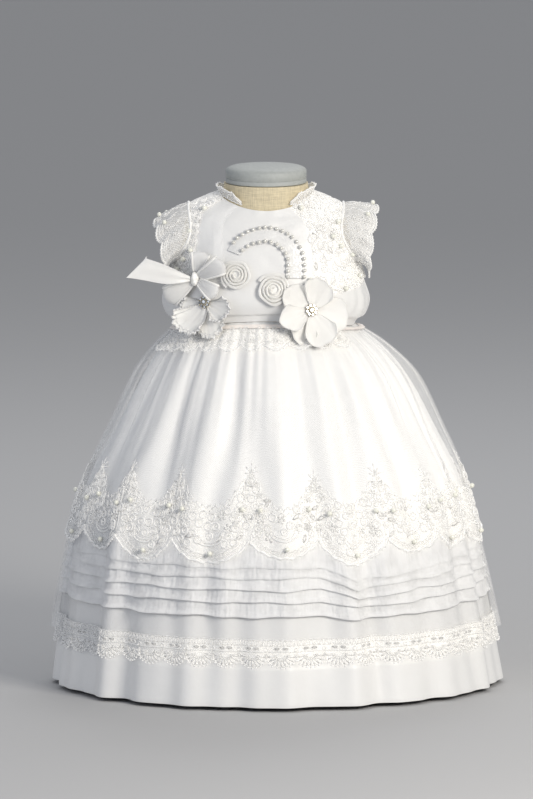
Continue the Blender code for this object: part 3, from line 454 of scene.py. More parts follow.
def bodice_point(level, azimuth, lift):
    """A point on the creased bodice, moved out by lift."""
    level, azimuth, lift = aligned(level, azimuth, lift)
    uneven = gather_height(level, azimuth) - crease_depth(level, azimuth) + 0.3
    quiet = clip((level - WAIST_SEAM) / 0.25, 0, 1)
    out = lift + clip(uneven, -1.6, 0.9) * quiet
    return body_point(level, azimuth) + out[..., None] * body_normal(level, azimuth)


def armhole_azimuth(level):
    """Azimuth of the armhole's front edge, or 90, the side seam, above and below it."""
    middle = (UNDERARM + SHOULDER) / 2
    half = (SHOULDER - UNDERARM) / 2
    return 90 - ARMHOLE_REACH * np.sqrt(clip(1 - ((level - middle) / half) ** 2, 0, 1))


def seam_angle(radius):
    """Half a seam's gap as degrees round a ring."""
    return math.degrees(SEAM / 2 / radius)


def skirt_form():
    """The satin skirt's points and outward directions, a row for each height from the hem up.

    A ring is a quarter ellipse on each side. It is pressed in by bells at the folds, whose places drift
    with height, and carries fine gathers that fade out below the waist and small waves further down."""
    ring_height = column_of(HEM_HEIGHT, WAIST_HEIGHT, SKIRT_ROWS)
    azimuth = arange(SKIRT_COLUMNS)[None, :] * 360 / SKIRT_COLUMNS
    sine, cosine = sine_cosine(azimuth)
    up = {name: values[::-1] for name, values in SKIRT.items()}
    ring = {name: curve(up["height"], values, ring_height) for name, values in up.items()}
    half_width = where(sine > 0, ring["right"], ring["left"])
    depth = where(cosine > 0, ring["front"], ring["back"])
    rise = where(cosine > 0, WAIST_RISE_FRONT, -WAIST_DIP_BACK) * cosine**2
    rise = rise * clip((ring_height - WAIST_RISE_ENDS) / (WAIST_HEIGHT - WAIST_RISE_ENDS), 0, 1)
    plain = stack([half_width * sine, -depth * cosine, ring_height + rise], axis=-1)
    across = np.roll(plain, -1, axis=1) - np.roll(plain, 1, axis=1)
    normal = unit(np.cross(across, np.gradient(plain, axis=0)))
    flat = unit(normal * (1, 1, 0))
    square = clip((WAIST_HEIGHT - ring_height) / 8, 0, 1)[..., None]
    normal = unit(flat * (1 - square) + normal * square)
    press = 0.0
    for number, (place, deep) in enumerate(zip(FOLDS["azimuth"], FOLDS["depth"])):
        drift = FOLD_DRIFT * sin(ring_height / 52 + 1.9 * number) * clip((330 - ring_height) / 60, 0, 1)
        swell = 1 + 0.18 * sin(ring_height / 41 + 2.3 * number)
        apart = wrapped_turn(azimuth - place - drift)
        deeper = 1 + FOLD_DEEPER * exp(-(((ring_height - 255) / 75) ** 2))
        press = press + deep * swell * deeper * exp(-((apart / FOLD_REACH) ** 2))
    fold = ring["fold"] * (FOLD_FILL - press)
    high = clip((ring_height - 250) / 100, 0, 1) * clip((364 - ring_height) / 14, 0.2, 1)
    low = clip((300 - ring_height) / 80, 0, 1)
    fine = 0.55 * high * ripple(azimuth, ring_height, 1, 50, 90, 0.02)
    broad = 1.8 * low * ripple(azimuth, ring_height, 2, 18, 44, 0.012)
    return plain + flat * (fold + fine + broad)[..., None], normal


SKIRT_POINTS, SKIRT_NORMALS = skirt_form()


def skirt_point(azimuth, height, lift):
    """A point on the satin skirt's form, moved out by lift, read between the points of its fine grid."""
    azimuth, height, lift = aligned(azimuth, height, lift)
    column = (azimuth * SKIRT_COLUMNS / 360) % SKIRT_COLUMNS
    left = np.floor(column).astype(int) % SKIRT_COLUMNS
    right = (left + 1) % SKIRT_COLUMNS
    across = (column - np.floor(column))[..., None]
    row = (height - HEM_HEIGHT) / (WAIST_HEIGHT - HEM_HEIGHT) * (SKIRT_ROWS - 1)
    under = clip(np.floor(row).astype(int), 0, SKIRT_ROWS - 2)
    climb = (row - under)[..., None]

    def blend(values):
        """The mean of the four nearest points, by how near each is."""
        below = values[under, left] * (1 - across) + values[under, right] * across
        above = values[under + 1, left] * (1 - across) + values[under + 1, right] * across
        return below * (1 - climb) + above * climb

    return blend(SKIRT_POINTS) + lift[..., None] * blend(SKIRT_NORMALS)


def overlay_lift(azimuth, height):
    """How far the tulle stands off the satin: its table's lift, more at the back, and its own gathers."""
    turned = np.abs(wrapped_turn(azimuth))
    share = clip((turned - BACK_LIFT_FROM) / (BACK_LIFT_FULL - BACK_LIFT_FROM), 0, 1)
    lift = curve(OVERLAY["height"], OVERLAY["lift"], height)
    lift = lift + share * curve(OVERLAY["height"], OVERLAY["back_lift"], height)
    gather = curve(OVERLAY["height"], OVERLAY["gather"], height)
    return lift + gather * (0.25 + ripple(azimuth, height, 3, 44, 96, 0.018))


def overlay_point(azimuth, height, lift):
    """A point on the tulle overlay's outer side, moved out by lift."""
    return skirt_point(azimuth, height, overlay_lift(azimuth, height) + LACE + lift)


def scallop_place(azimuth):
    """Number of the scallop at an azimuth, and the share of the way across it."""
    wrapped = wrapped_turn(azimuth)
    starts = SCALLOPS["start"]
    index = clip(np.searchsorted(starts, wrapped, side="right") - 1, 0, len(starts) - 2)
    return index, (wrapped - starts[index]) / (starts[index + 1] - starts[index])


def scallop_edge(azimuth):
    """Height of the overlay's scalloped lower edge: a rounded sine between two valleys."""
    index, across = scallop_place(azimuth)
    tip = SCALLOPS["tip_height"][index]
    return VALLEY - (VALLEY - tip) * sin(pi * clip(across, 0, 1)) ** SCALLOP_ROUND


FRONT_LEVELS, FRONT_AZIMUTHS = np.meshgrid(linspace(3.1, 12, 500), linspace(-80, 80, 500), indexing="ij")
FRONT_POINTS = body_point(FRONT_LEVELS, FRONT_AZIMUTHS)


def front_place(x, height):
    """Level and azimuth of the bodice's front at an x and a height: the nearest point of a fine grid."""
    miss = (FRONT_POINTS[..., 0] - x) ** 2 + (FRONT_POINTS[..., 2] - height) ** 2
    nearest = np.unravel_index(np.argmin(miss), miss.shape)
    return FRONT_LEVELS[nearest], FRONT_AZIMUTHS[nearest]


def front_places(xs, heights):
    """Levels and azimuths of the bodice's front at several places seen from the front."""
    found = np.array([front_place(x, height) for x, height in zip(np.ravel(xs), np.ravel(heights))])
    return found[:, 0].reshape(np.shape(xs)), found[:, 1].reshape(np.shape(xs))


def front_point(x, height, lift):
    """A point on the bodice's front, moved out by lift, and the bodice's direction there."""
    level, azimuth = front_place(x, height)
    normal = body_normal(level, azimuth)
    return body_point(level, azimuth) + lift * normal, normal


def face_frame(normal, up=(0, 0, 1)):
    """Right, up and outward directions of a face that looks along normal."""
    normal = unit(np.asarray(normal, float))
    right = unit(np.cross(np.asarray(up, float), normal))
    return right, np.cross(normal, right), normal


# ---- mesh making


def linked(name, data, place=(0, 0, 0), facing=None):
    """An object in the scene. Where facing is given its -Z looks that way, upright."""
    thing = bpy.data.objects.new(name, data)
    thing.location = place
    if facing is not None:
        thing.rotation_euler = Vector(facing).to_track_quat("-Z", "Y").to_euler()
    bpy.context.scene.collection.objects.link(thing)
    return thing


def circle_of(right, up, angles):
    """Points of a circle of radius 1 in the plane of right and up."""
    angles = np.asarray(angles)[..., None]
    return right * cos(angles) + up * sin(angles)


def icosphere(halvings):
    """Points and triangles of a ball of radius 1: an icosahedron whose triangles are cut in four."""
    golden = (1 + 5**0.5) / 2
    points = []
    for first in (-1, 1):
        for second in (-golden, golden):
            points += [(first, second, 0), (0, first, second), (second, 0, first)]
    points = unit(np.array(points, float))
    apart = np.linalg.norm(points[:, None] - points[None], axis=-1)
    near = (apart > 0.1) & (apart < 1.1)
    faces = []
    for i, j, k in itertools.combinations(range(12), 3):
        if near[i, j] and near[j, k] and near[i, k]:
            out = np.dot(np.cross(points[j] - points[i], points[k] - points[i]), points[i]) > 0
            faces.append((i, j, k) if out else (i, k, j))
    faces = np.array(faces)
    for _ in range(halvings):
        edges = np.sort(concatenate([faces[:, [0, 1]], faces[:, [1, 2]], faces[:, [2, 0]]]), axis=1)
        pairs, which = np.unique(edges, axis=0, return_inverse=True)
        middle = len(points) + which.reshape(3, -1)
        points = concatenate([points, unit(points[pairs].mean(axis=1))])
        a, b, c = faces.T
        ab, bc, ca = middle
        faces = concatenate([stack(t, 1) for t in ((a, ab, ca), (b, bc, ab), (c, ca, bc), (ab, bc, ca))])
    return points, faces


KNOT_BALL = icosphere(0)
ROUND_BALL = icosphere(2)


class Pile:
    """Gathers the points, faces, pattern places and material numbers of one mesh."""

    def __init__(self):
        self.points = []
        self.parts = {3: [], 4: []}
        self.count = 0

    def add(self, points, faces, places=None, kind=0):
        """Adds faces of 3 or 4 corners. places holds the pattern's place at each corner, in metres."""
        points = np.asarray(points, float).reshape(-1, 3)
        if places is None:
            places = points[faces][..., [0, 2]] * MM
        self.parts[faces.shape[1]].append((faces + self.count, places, np.broadcast_to(kind, len(faces))))
        self.points.append(points)
        self.count += len(points)

    def grid(self, sheet, inward=False, wrapped=False, places=None, kind=0):
        """Quads over a grid of points whose rows climb and whose columns run to the right."""
        rows, columns = sheet.shape[:2]
        across = columns if wrapped else columns - 1
        row, column = lattice(rows - 1, across)
        row = stack([row, row, row + 1, row + 1], -1).reshape(-1, 4)
        column = stack([column, column + 1, column + 1, column], -1).reshape(-1, 4)
        if inward:
            row, column = row[:, ::-1], column[:, ::-1]
        places = cloth_places(sheet, wrapped) if places is None else places
        kinds = np.repeat(kind, across) if np.ndim(kind) else kind
        self.add(sheet, row * columns + column % columns, places[row, column], kinds)

    def shell(self, inner, outer, wrapped=False, places=None, kind=0):
        """A closed thin wall between two grids of the same size, with rims round its edges.

        kind is one material number, or one for each row of faces."""
        places = cloth_places(outer, wrapped) if places is None else places
        start = self.count
        self.grid(inner, True, wrapped, places, kind)
        self.grid(outer, False, wrapped, places, kind)
        rows, columns = inner.shape[:2]
        index = arange(rows * columns).reshape(rows, columns)
        flat_places = places[:, :columns].reshape(-1, 2)
        rims = []

        def rim(line, turned):
            """Quads that join both sides of the wall along a line of its border."""
            near, far = line[:-1], line[1:]
            quad = stack([near, far, far + rows * columns, near + rows * columns], 1)
            rims.append(quad[:, ::-1] if turned else quad)

        ends = [0] if wrapped else []
        rim(np.append(index[0], index[0, ends]), False)
        rim(np.append(index[-1], index[-1, ends]), True)
        if not wrapped:
            rim(index[:, 0], True)
            rim(index[:, -1], False)
        quads = concatenate(rims)
        rim_kinds = np.full(len(quads), np.max(kind))
        self.parts[4].append((quads + start, flat_places[quads % (rows * columns)], rim_kinds))

    def stack(self, rings, kind=0):
        """A solid through rings that climb, each running to the right, closed by fans at both ends."""
        rings = np.asarray(rings, float)
        rows, columns = rings.shape[:2]
        start = self.count
        self.grid(rings, wrapped=True, kind=kind)
        ends = stack([rings[0].mean(0), rings[-1].mean(0)])
        self.points.append(ends)
        foot = start + rows * columns
        self.count += 2
        here = arange(columns)
        beside = (here + 1) % columns
        last = start + (rows - 1) * columns
        fans = [
            stack([np.full(columns, foot), start + beside, start + here], 1),
            stack([np.full(columns, foot + 1), last + here, last + beside], 1),
        ]
        flat = concatenate([rings.reshape(-1, 3), ends])[..., [0, 1]] * MM
        faces = concatenate(fans)
        self.parts[3].append((faces, flat[faces - start], np.full(len(faces), kind)))

    def cords(self, paths, normals, radius, sides=4, closed=False, kind=0):
        """Round cords along many paths at once: at each point a ring of corners across the path."""
        paths = np.asarray(paths, float)
        if closed:
            tangent = unit(np.roll(paths, -1, axis=1) - np.roll(paths, 1, axis=1))
        else:
            tangent = unit(np.gradient(paths, axis=1))
        side = unit(np.cross(np.broadcast_to(normals, paths.shape), tangent))
        top = np.cross(tangent, side)
        turn = round_turn(sides) + pi / 2
        wide = np.broadcast_to(np.asarray(radius, float), paths.shape[:2])[..., None, None]
        ring = side[:, :, None] * cos(turn)[:, None] + top[:, :, None] * sin(turn)[:, None]
        points = paths[:, :, None] + wide * ring
        many, length = paths.shape[:2]
        steps = length if closed else length - 1
        path, step, corner = lattice(many, steps, sides)
        next_step = (step + 1) % length
        next_corner = (corner + 1) % sides

        def index(along, turned):
            """Number of the corner at a step along the cord and a turn round it."""
            return ((path * length + along) * sides + turned).ravel()

        corners = ((step, corner), (step, next_corner), (next_step, next_corner), (next_step, corner))
        faces = stack([index(*one) for one in corners], axis=1)
        self.add(points, faces, kind=kind)
        if not closed:
            start = self.count - points.size // 3
            fan = stack([np.zeros(sides - 2, int), arange(1, sides - 1), arange(2, sides)], 1)
            first = (arange(many) * length * sides)[:, None, None] + fan[None, :, ::-1]
            last = ((arange(many) + 1) * length - 1)[:, None, None] * sides + fan[None]
            caps = concatenate([first.reshape(-1, 3), last.reshape(-1, 3)])
            flat = points.reshape(-1, 3)[..., [0, 2]] * MM
            self.parts[3].append((caps + start, flat[caps], np.full(len(caps), kind)))

    def balls(self, centres, radius, ball, kind=0):
        """Copies of a ball at many centres."""
        centres = np.asarray(centres, float).reshape(-1, 3)
        shape, faces = ball
        wide = np.broadcast_to(np.asarray(radius, float), (len(centres),))[:, None, None]
        points = centres[:, None] + wide * shape[None]
        starts = arange(len(centres))[:, None, None] * len(shape)
        self.add(points, (faces[None] + starts).reshape(-1, 3), kind=kind)

    def build(self, name, materials, sharp=50.0):
        """Makes the mesh and its object. Edges sharper than the angle stay sharp; None keeps none."""
        mesh = bpy.data.meshes.new(name)
        points = concatenate(self.points) * MM
        mesh.vertices.add(len(points))
        mesh.vertices.foreach_set("co", points.astype(np.float32).ravel())
        parts = self.parts[3] + self.parts[4]
        faces, places, kinds = zip(*parts)
        corners = concatenate([face.ravel() for face in faces])
        sides = concatenate([np.full(len(face), face.shape[1]) for face in faces])
        mesh.loops.add(len(corners))
        mesh.loops.foreach_set("vertex_index", corners.astype(np.int32))
        mesh.polygons.add(len(sides))
        mesh.polygons.foreach_set("loop_start", (np.cumsum(sides) - sides).astype(np.int32))
        mesh.polygons.foreach_set("material_index", concatenate(kinds).astype(np.int32))
        layer = mesh.uv_layers.new(name="UVMap")
        places = concatenate([place.reshape(-1, 2) for place in places])
        layer.data.foreach_set("uv", places.astype(np.float32).ravel())
        mesh.update(calc_edges=True)
        mesh.validate()
        mesh.shade_smooth()
        if sharp is not None:
            mesh.set_sharp_from_angle(angle=math.radians(sharp))
        for material in materials:
            mesh.materials.append(material)
        return linked(name, mesh)


def cloth_places(sheet, wrapped=False):
    """Places on the cloth of a grid's points, in metres: mean lengths across and up from its corner."""
    closed = concatenate([sheet, sheet[:, :1]], axis=1) if wrapped else sheet
    across = np.linalg.norm(np.diff(closed, axis=1), axis=-1).mean(0)
    up = np.linalg.norm(np.diff(sheet, axis=0), axis=-1).mean(1)
    across = concatenate([[0], np.cumsum(across)])
    up = concatenate([[0], np.cumsum(up)])
    return stack(np.meshgrid(across, up), axis=-1) * MM


def raised(surface, lift):
    """The same surface, moved out by a lift."""
    return lambda a, b, more: surface(a, b, lift + more)


def leaf_outline(turn, length, width, point):
    """Lengths along and aside on a leaf's outline: an oval, drawn in at its ends by the share point."""
    return length * (1 - cos(turn)) / 2, width * sin(turn) * (1 - point * 0.35 * cos(turn) ** 2)


def swung(direction, along, aside):
    """x and y of places that lie along and aside of a direction."""
    cosine, sine = cos(direction), sin(direction)
    return along * cosine - aside * sine, along * sine + aside * cosine


class Embroidery:
    """Cords, rings, filled petals and knots worked onto a cloth whose points are surface(a, b, lift)."""

    def __init__(self, surface, level=0.0):
        self.surface = surface
        self.level = level
        self.pile = Pile()

    def lay(self, a, b, x, y, lift=0.0):
        """Points x and y millimetres from the places a, b, measured along the surface's two directions."""
        a, b, x, y = aligned(a, b, x, y)
        wide = np.linalg.norm(self.surface(a + NEAR, b, 0.0) - self.surface(a - NEAR, b, 0.0), axis=-1)
        tall = np.linalg.norm(self.surface(a, b + NEAR, 0.0) - self.surface(a, b - NEAR, 0.0), axis=-1)
        a = a + x * 2 * NEAR / np.maximum(wide, 1e-6)
        b = b + y * 2 * NEAR / np.maximum(tall, 1e-6)
        return self.surface(a, b, np.asarray(lift) + self.level), self.surface(a, b, np.asarray(lift) + self.level + 1)

    def finish(self, title, solid=(), cloths="cord", airy=True):
        """Makes the piece of all that was worked so far."""
        return finish_piece(self.pile, title, cloths, "lace", solid, None, airy)

    def line(self, a, b, x=0.0, y=0.0, radius=0.6, sides=4, closed=False):
        """Cords along places a, b, each moved by x, y. The arrays hold a row for each cord."""
        points, above = self.lay(a, b, x, y, np.max(radius) * 0.2)
        self.pile.cords(points, above - points, radius, sides, closed)

    def rings(self, a, b, size, radius=0.5, corners=8, x=0.0, y=0.0, sides=4):
        """Round cords of a size about many places."""
        a, b, size, x, y = as_columns(a, b, size, x, y)
        turn = round_turn(corners)
        self.line(a, b, x + size * cos(turn), y + size * sin(turn), radius, sides, closed=True)

    def knots(self, a, b, radius, x=0.0, y=0.0, ball=KNOT_BALL):
        """Small round knots, half sunk in the cloth."""
        points, _ = self.lay(a, b, x, y, np.mean(radius) * 0.5)
        self.pile.balls(points.reshape(-1, 3), np.broadcast_to(radius, points.shape[:-1]).ravel(), ball)

    def petals(self, a, b, direction, start, length, width, height=0.8, x=0.0, y=0.0, corners=6, point=0.0, kind=0):
        """Filled petals: a low mound whose outline is an oval, or pointed where point is 1."""
        a, b, direction, start, length, width, x, y = as_columns(a, b, direction, start, length, width, x, y)
        along, aside = leaf_outline(round_turn(corners), length, width, point)
        along = start + concatenate([along, length * 0.5, length * 0.5], axis=1)
        aside = concatenate([aside, 0 * aside[:, :2]], axis=1)
        lift = concatenate([np.full(corners, 0.1), [height], [-0.3]])
        right, up = swung(direction, along, aside)
        points, _ = self.lay(a, b, x + right, y + up, lift)
        here = arange(corners)
        beside = (here + 1) % corners
        # The outline runs clockwise, so the fans turn against it.
        top = stack([np.full(corners, corners), beside, here], 1)
        foot = stack([np.full(corners, corners + 1), here, beside], 1)
        fans = concatenate([top, foot])
        starts = arange(len(points))[:, None, None] * (corners + 2)
        self.pile.add(points, (fans[None] + starts).reshape(-1, 3), kind=kind)

    def florets(self, a, b, size, count=5, turn=0.0, x=0.0, y=0.0, rimmed=True):
        """Small round flowers: filled petals about a knot, with a ring cord round the middle."""
        a, b, size, turn, x, y = as_columns(a, b, size, turn, x, y)
        angle = turn + round_turn(count)
        self.petals(a, b, angle, 0.24 * size, 0.76 * size, size * 1.9 / count / 1.25, 0.32, x, y)
        if rimmed:
            self.rings(a, b, 0.3 * size, 0.42, 6, x, y)
        self.knots(a, b, 0.2 * size[:, 0].mean(), x, y)

    def curls(self, a, b, size, turn=0.0, radius=0.45):
        """Small spirals of cord, one and a half turns each."""
        a, b, size, turn = as_columns(a, b, size, turn)
        part = linspace(0, 1, 11)
        angle = turn + part * 3 * pi
        reach = size * (1 - 0.72 * part)
        self.line(a, b, reach * cos(angle), reach * sin(angle), radius)

    def scatter(self, a, b, size, seed):
        """Fills places with mixed motifs: ring florets, filled florets, leaves and curls, all touching."""
        draw = np.random.default_rng(seed)
        kind = draw.uniform(0, 1, len(a))
        size = size * draw.uniform(0.85, 1.15, len(a))
        turn = draw.uniform(0, 2 * pi, len(a))
        ringed, filled = kind < 0.62, (kind >= 0.62) & (kind < 0.7)
        leafy, curly = (kind >= 0.7) & (kind < 0.8), kind >= 0.8
        cord = size.mean() * 0.22
        self.rings(a[ringed], b[ringed], size[ringed] * 0.8, cord, 10)
        self.knots(a[ringed], b[ringed], cord * 0.8)
        self.florets(a[filled], b[filled], size[filled] * 1.12, 5, turn[filled], rimmed=False)
        self.leaves(a[leafy], b[leafy], turn[leafy], size[leafy] * 2.0, size[leafy] * 0.42)
        self.curls(a[curly], b[curly], size[curly] * 1.05, turn[curly], cord * 0.8)

    def leaves(self, a, b, direction, length, width, x=0.0, y=0.0):
        """Pointed leaves: a filled mound, edged by a thin cord from the root round the tip and back."""
        self.petals(a, b, direction, 0.0, length, width, 0.4, x, y, 8, 1.0)
        a, b, direction, length, width, x, y = as_columns(a, b, direction, length, width, x, y)
        right, up = swung(direction, *leaf_outline(linspace(0, 2 * pi, 9), length * 1.04, width * 1.1, 1.0))
        self.line(a, b, x + right, y + up, 0.38, 3)


# ---- materials


def node(tree, kind, inputs=None, **settings):
    """A shader node with its settings and inputs. An input is a value or another node's output."""
    made = tree.nodes.new(f"ShaderNode{kind}")
    for name, value in settings.items():
        setattr(made, name, value)
    for name, value in (inputs or {}).items():
        if isinstance(value, bpy.types.NodeSocket):
            tree.links.new(value, made.inputs[name])
        else:
            made.inputs[name].default_value = value
    return made


def maths(tree, operation, first, second=0.0, third=0.0):
    """One step of arithmetic. Gives its output."""
    return node(tree, "Math", {0: first, 1: second, 2: third}, operation=operation).outputs[0]


def scaled(tree, value, factor, more):
    """A value times a factor, and more added. Gives its output."""
    return maths(tree, "MULTIPLY_ADD", value, factor, more)


def pattern(tree, own=True, scale=(1, 1, 1)):
    """The pattern's place: on the cloth, or in the object's own space."""
    source = node(tree, "TexCoord").outputs["UV" if own else "Object"]
    return node(tree, "Mapping", {"Vector": source, "Scale": scale}).outputs[0]


def noise(tree, place, scale, detail=2.0):
    """A noise that runs from 0 to 1."""
    return node(tree, "TexNoise", {"Vector": place, "Scale": scale, "Detail": detail}).outputs["Fac"]


def stripes(tree, place, direction, scale):
    """Even soft stripes, so many to a metre, across the X or the Y of the pattern."""
    inputs = {"Vector": place, "Scale": scale / 20 * math.pi * 2, "Distortion": 0.0}
    return node(tree, "TexWave", inputs, bands_direction=direction).outputs["Fac"]


def new_material(name, roughness, **sockets):
    """A Principled material, its tree and its shader, with even values on the shader's own sockets."""
    material = bpy.data.materials.new(name)
    material.use_nodes = True
    tree = material.node_tree
    shader = tree.nodes["Principled BSDF"]
    shader.inputs["Roughness"].default_value = roughness
    for socket, value in sockets.items():
        shader.inputs[socket.replace("_", " ")].default_value = value
    return material, tree, shader


def tint(tree, shader, factor, dark, light):
    """Gives the shader a colour that runs from dark to light with the factor."""
    mixed = node(tree, "Mix", {0: factor, 6: (*dark, 1), 7: (*light, 1)}, data_type="RGBA")
    tree.links.new(mixed.outputs[2], shader.inputs["Base Color"])


def ranged(tree, value, low, high):
    """A value stretched so that it runs from 0 at low to 1 at high."""
    return node(tree, "MapRange", {"Value": value, "From Min": low, "From Max": high}).outputs[0]


def cells(tree, place, scale):
    """One random level for each small cell of the pattern."""
    made = node(tree, "TexVoronoi", {"Vector": place, "Scale": scale})
    return node(tree, "SeparateColor", {"Color": made.outputs["Color"]}).outputs[0]


def lit_through(share, depth):
    """Settings of a cloth that light soaks into: the share of the light and its depth in metres."""
    return {"Subsurface_Weight": share, "Subsurface_Scale": depth, "Subsurface_Radius": (1, 1, 1)}


def shaded(colour, share):
    """A colour made darker by a share."""
    return tuple(channel * share for channel in colour)


def bump(tree, shader, height, strength, distance):
    """A fine relief on the shader."""
    made = node(tree, "Bump", {"Height": height, "Strength": strength, "Distance": distance})
    tree.links.new(made.outputs[0], shader.inputs["Normal"])


def woven_cloth(name, colour, roughness, threads, relief, crumple, **sockets):
    """Woven cloth: crossed threads, a soft crumple and a slight unevenness of shade."""
    material, tree, shader = new_material(name, roughness, **sockets)
    place = pattern(tree)
    warp = stripes(tree, place, "X", threads)
    weft = stripes(tree, place, "Y", threads * 0.8)
    slub = noise(tree, place, threads * 0.12, 4.0)
    folds = noise(tree, place, 70.0, 3.0)
    weave = scaled(tree, maths(tree, "MAXIMUM", warp, weft), 0.6, slub)
    height = scaled(tree, folds, crumple, maths(tree, "MULTIPLY", weave, relief))
    bump(tree, shader, height, 1.0, 0.001)
    tint(tree, shader, folds, shaded(colour, 0.965), colour)
    rough = scaled(tree, slub, 0.16, roughness - 0.08)
    tree.links.new(rough, shader.inputs["Roughness"])
    return material


def sheer_cloth(name, colour, meshes, thread, open_alpha, thread_alpha, patches=55.0, mottle=0.5, wrinkle=0.0):
    """Sheer net: crossed slanting threads that hide more than the holes between them."""
    material, tree, shader = new_material(name, 0.75, Sheen_Weight=0.25)
    place = pattern(tree)
    turned = node(tree, "Mapping", {"Vector": place, "Rotation": (0, 0, math.radians(45))}).outputs[0]
    lines = maths(tree, "MAXIMUM", stripes(tree, turned, "X", meshes), stripes(tree, turned, "Y", meshes))
    edge = ranged(tree, lines, 1 - thread, 1.0)
    cloud = noise(tree, place, patches, 3.0)
    alpha = scaled(tree, edge, thread_alpha - open_alpha, open_alpha)
    uneven = scaled(tree, cloud, mottle, 1 - mottle / 2)
    tree.links.new(maths(tree, "MULTIPLY", alpha, uneven), shader.inputs["Alpha"])
    tint(tree, shader, cloud, shaded(colour, 0.96), colour)
    if wrinkle:
        slant = {"Vector": place, "Rotation": (0, 0, math.radians(14)), "Scale": (1, 0.22, 1)}
        pulled = noise(tree, node(tree, "Mapping", slant).outputs[0], 190.0, 1.0)
        bump(tree, shader, scaled(tree, edge, 0.1, pulled), 1.0, wrinkle)
    else:
        bump(tree, shader, edge, 0.5, 0.0003)
    return material


def cord_thread(name, colour):
    """Twisted embroidery thread, read in the object's own space."""
    material, tree, shader = new_material(name, 0.55, Sheen_Weight=0.3, **lit_through(0.6, 0.003))
    place = pattern(tree, own=False)
    twist = noise(tree, place, 1500.0, 2.0)
    tint(tree, shader, noise(tree, place, 90.0, 2.0), shaded(colour, 0.95), colour)
    bump(tree, shader, twist, 0.5, 0.0004)
    return material


def mottled(name, roughness, scale, detail, dark, light, relief=None, **sockets):
    """An even finish whose colour runs from dark to light with a noise, which is also its relief if one is given."""
    material, tree, shader = new_material(name, roughness, **sockets)
    grain = noise(tree, pattern(tree, own=False), scale, detail)
    tint(tree, shader, grain, dark, light)
    if relief:
        bump(tree, shader, grain, *relief)
    return material


def linen_finish(colour):
    """Plain linen: long slubs both ways, some threads darker, a little fuzz."""
    material, tree, shader = new_material("cream linen", 0.88, Sheen_Weight=0.1)
    across = noise(tree, pattern(tree, own=False, scale=(0.12, 0.12, 1)), 900.0, 3.0)
    upward = noise(tree, pattern(tree, own=False, scale=(1, 1, 0.1)), 900.0, 3.0)
    weave = scaled(tree, across, 0.5, maths(tree, "MULTIPLY", upward, 0.5))
    strong = ranged(tree, weave, 0.36, 0.64)
    tint(tree, shader, strong, shaded(colour, 0.8), shaded(colour, 1.1))
    bump(tree, shader, strong, 0.5, 0.0006)
    return material


def stone_finish():
    """Clear cut stones: bright, with a faceted tint that changes from stone to stone."""
    material, tree, shader = new_material("cut stone", 0.05, Metallic=0.75, Coat_Weight=1.0)
    # Painted reflections: each small cell is a dark or bright facet glint.
    tint(tree, shader, cells(tree, pattern(tree, own=False), 620.0), (0.05, 0.048, 0.045), (0.74, 0.73, 0.69))
    return material


def metal_finish():
    """White lacquered metal with a fine orange peel and slight scuffs."""
    material, tree, shader = new_material("white metal", 0.35, Metallic=0.1, Coat_Weight=0.3)
    peel = noise(tree, pattern(tree, own=False), 320.0, 2.0)
    scuff = noise(tree, pattern(tree, own=False), 40.0, 6.0)
    tint(tree, shader, scuff, (0.74, 0.75, 0.76), (0.88, 0.88, 0.88))
    tree.links.new(scaled(tree, scuff, 0.25, 0.22), shader.inputs["Roughness"])
    bump(tree, shader, peel, 0.08, 0.0003)
    return material


def glitter_finish(colour):
    """Ribbon strewn with fine glitter: tiny cells, some of them bright and turned another way."""
    material, tree, shader = new_material("glitter ribbon", 0.5)
    level = cells(tree, pattern(tree), 1500.0)
    spark = ranged(tree, level, 0.7, 0.85)
    tint(tree, shader, level, shaded(colour, 0.93), colour)
    tree.links.new(scaled(tree, spark, -0.25, 0.6), shader.inputs["Roughness"])
    tree.links.new(maths(tree, "MULTIPLY", spark, 0.3), shader.inputs["Metallic"])
    bump(tree, shader, level, 0.3, 0.0004)
    return material


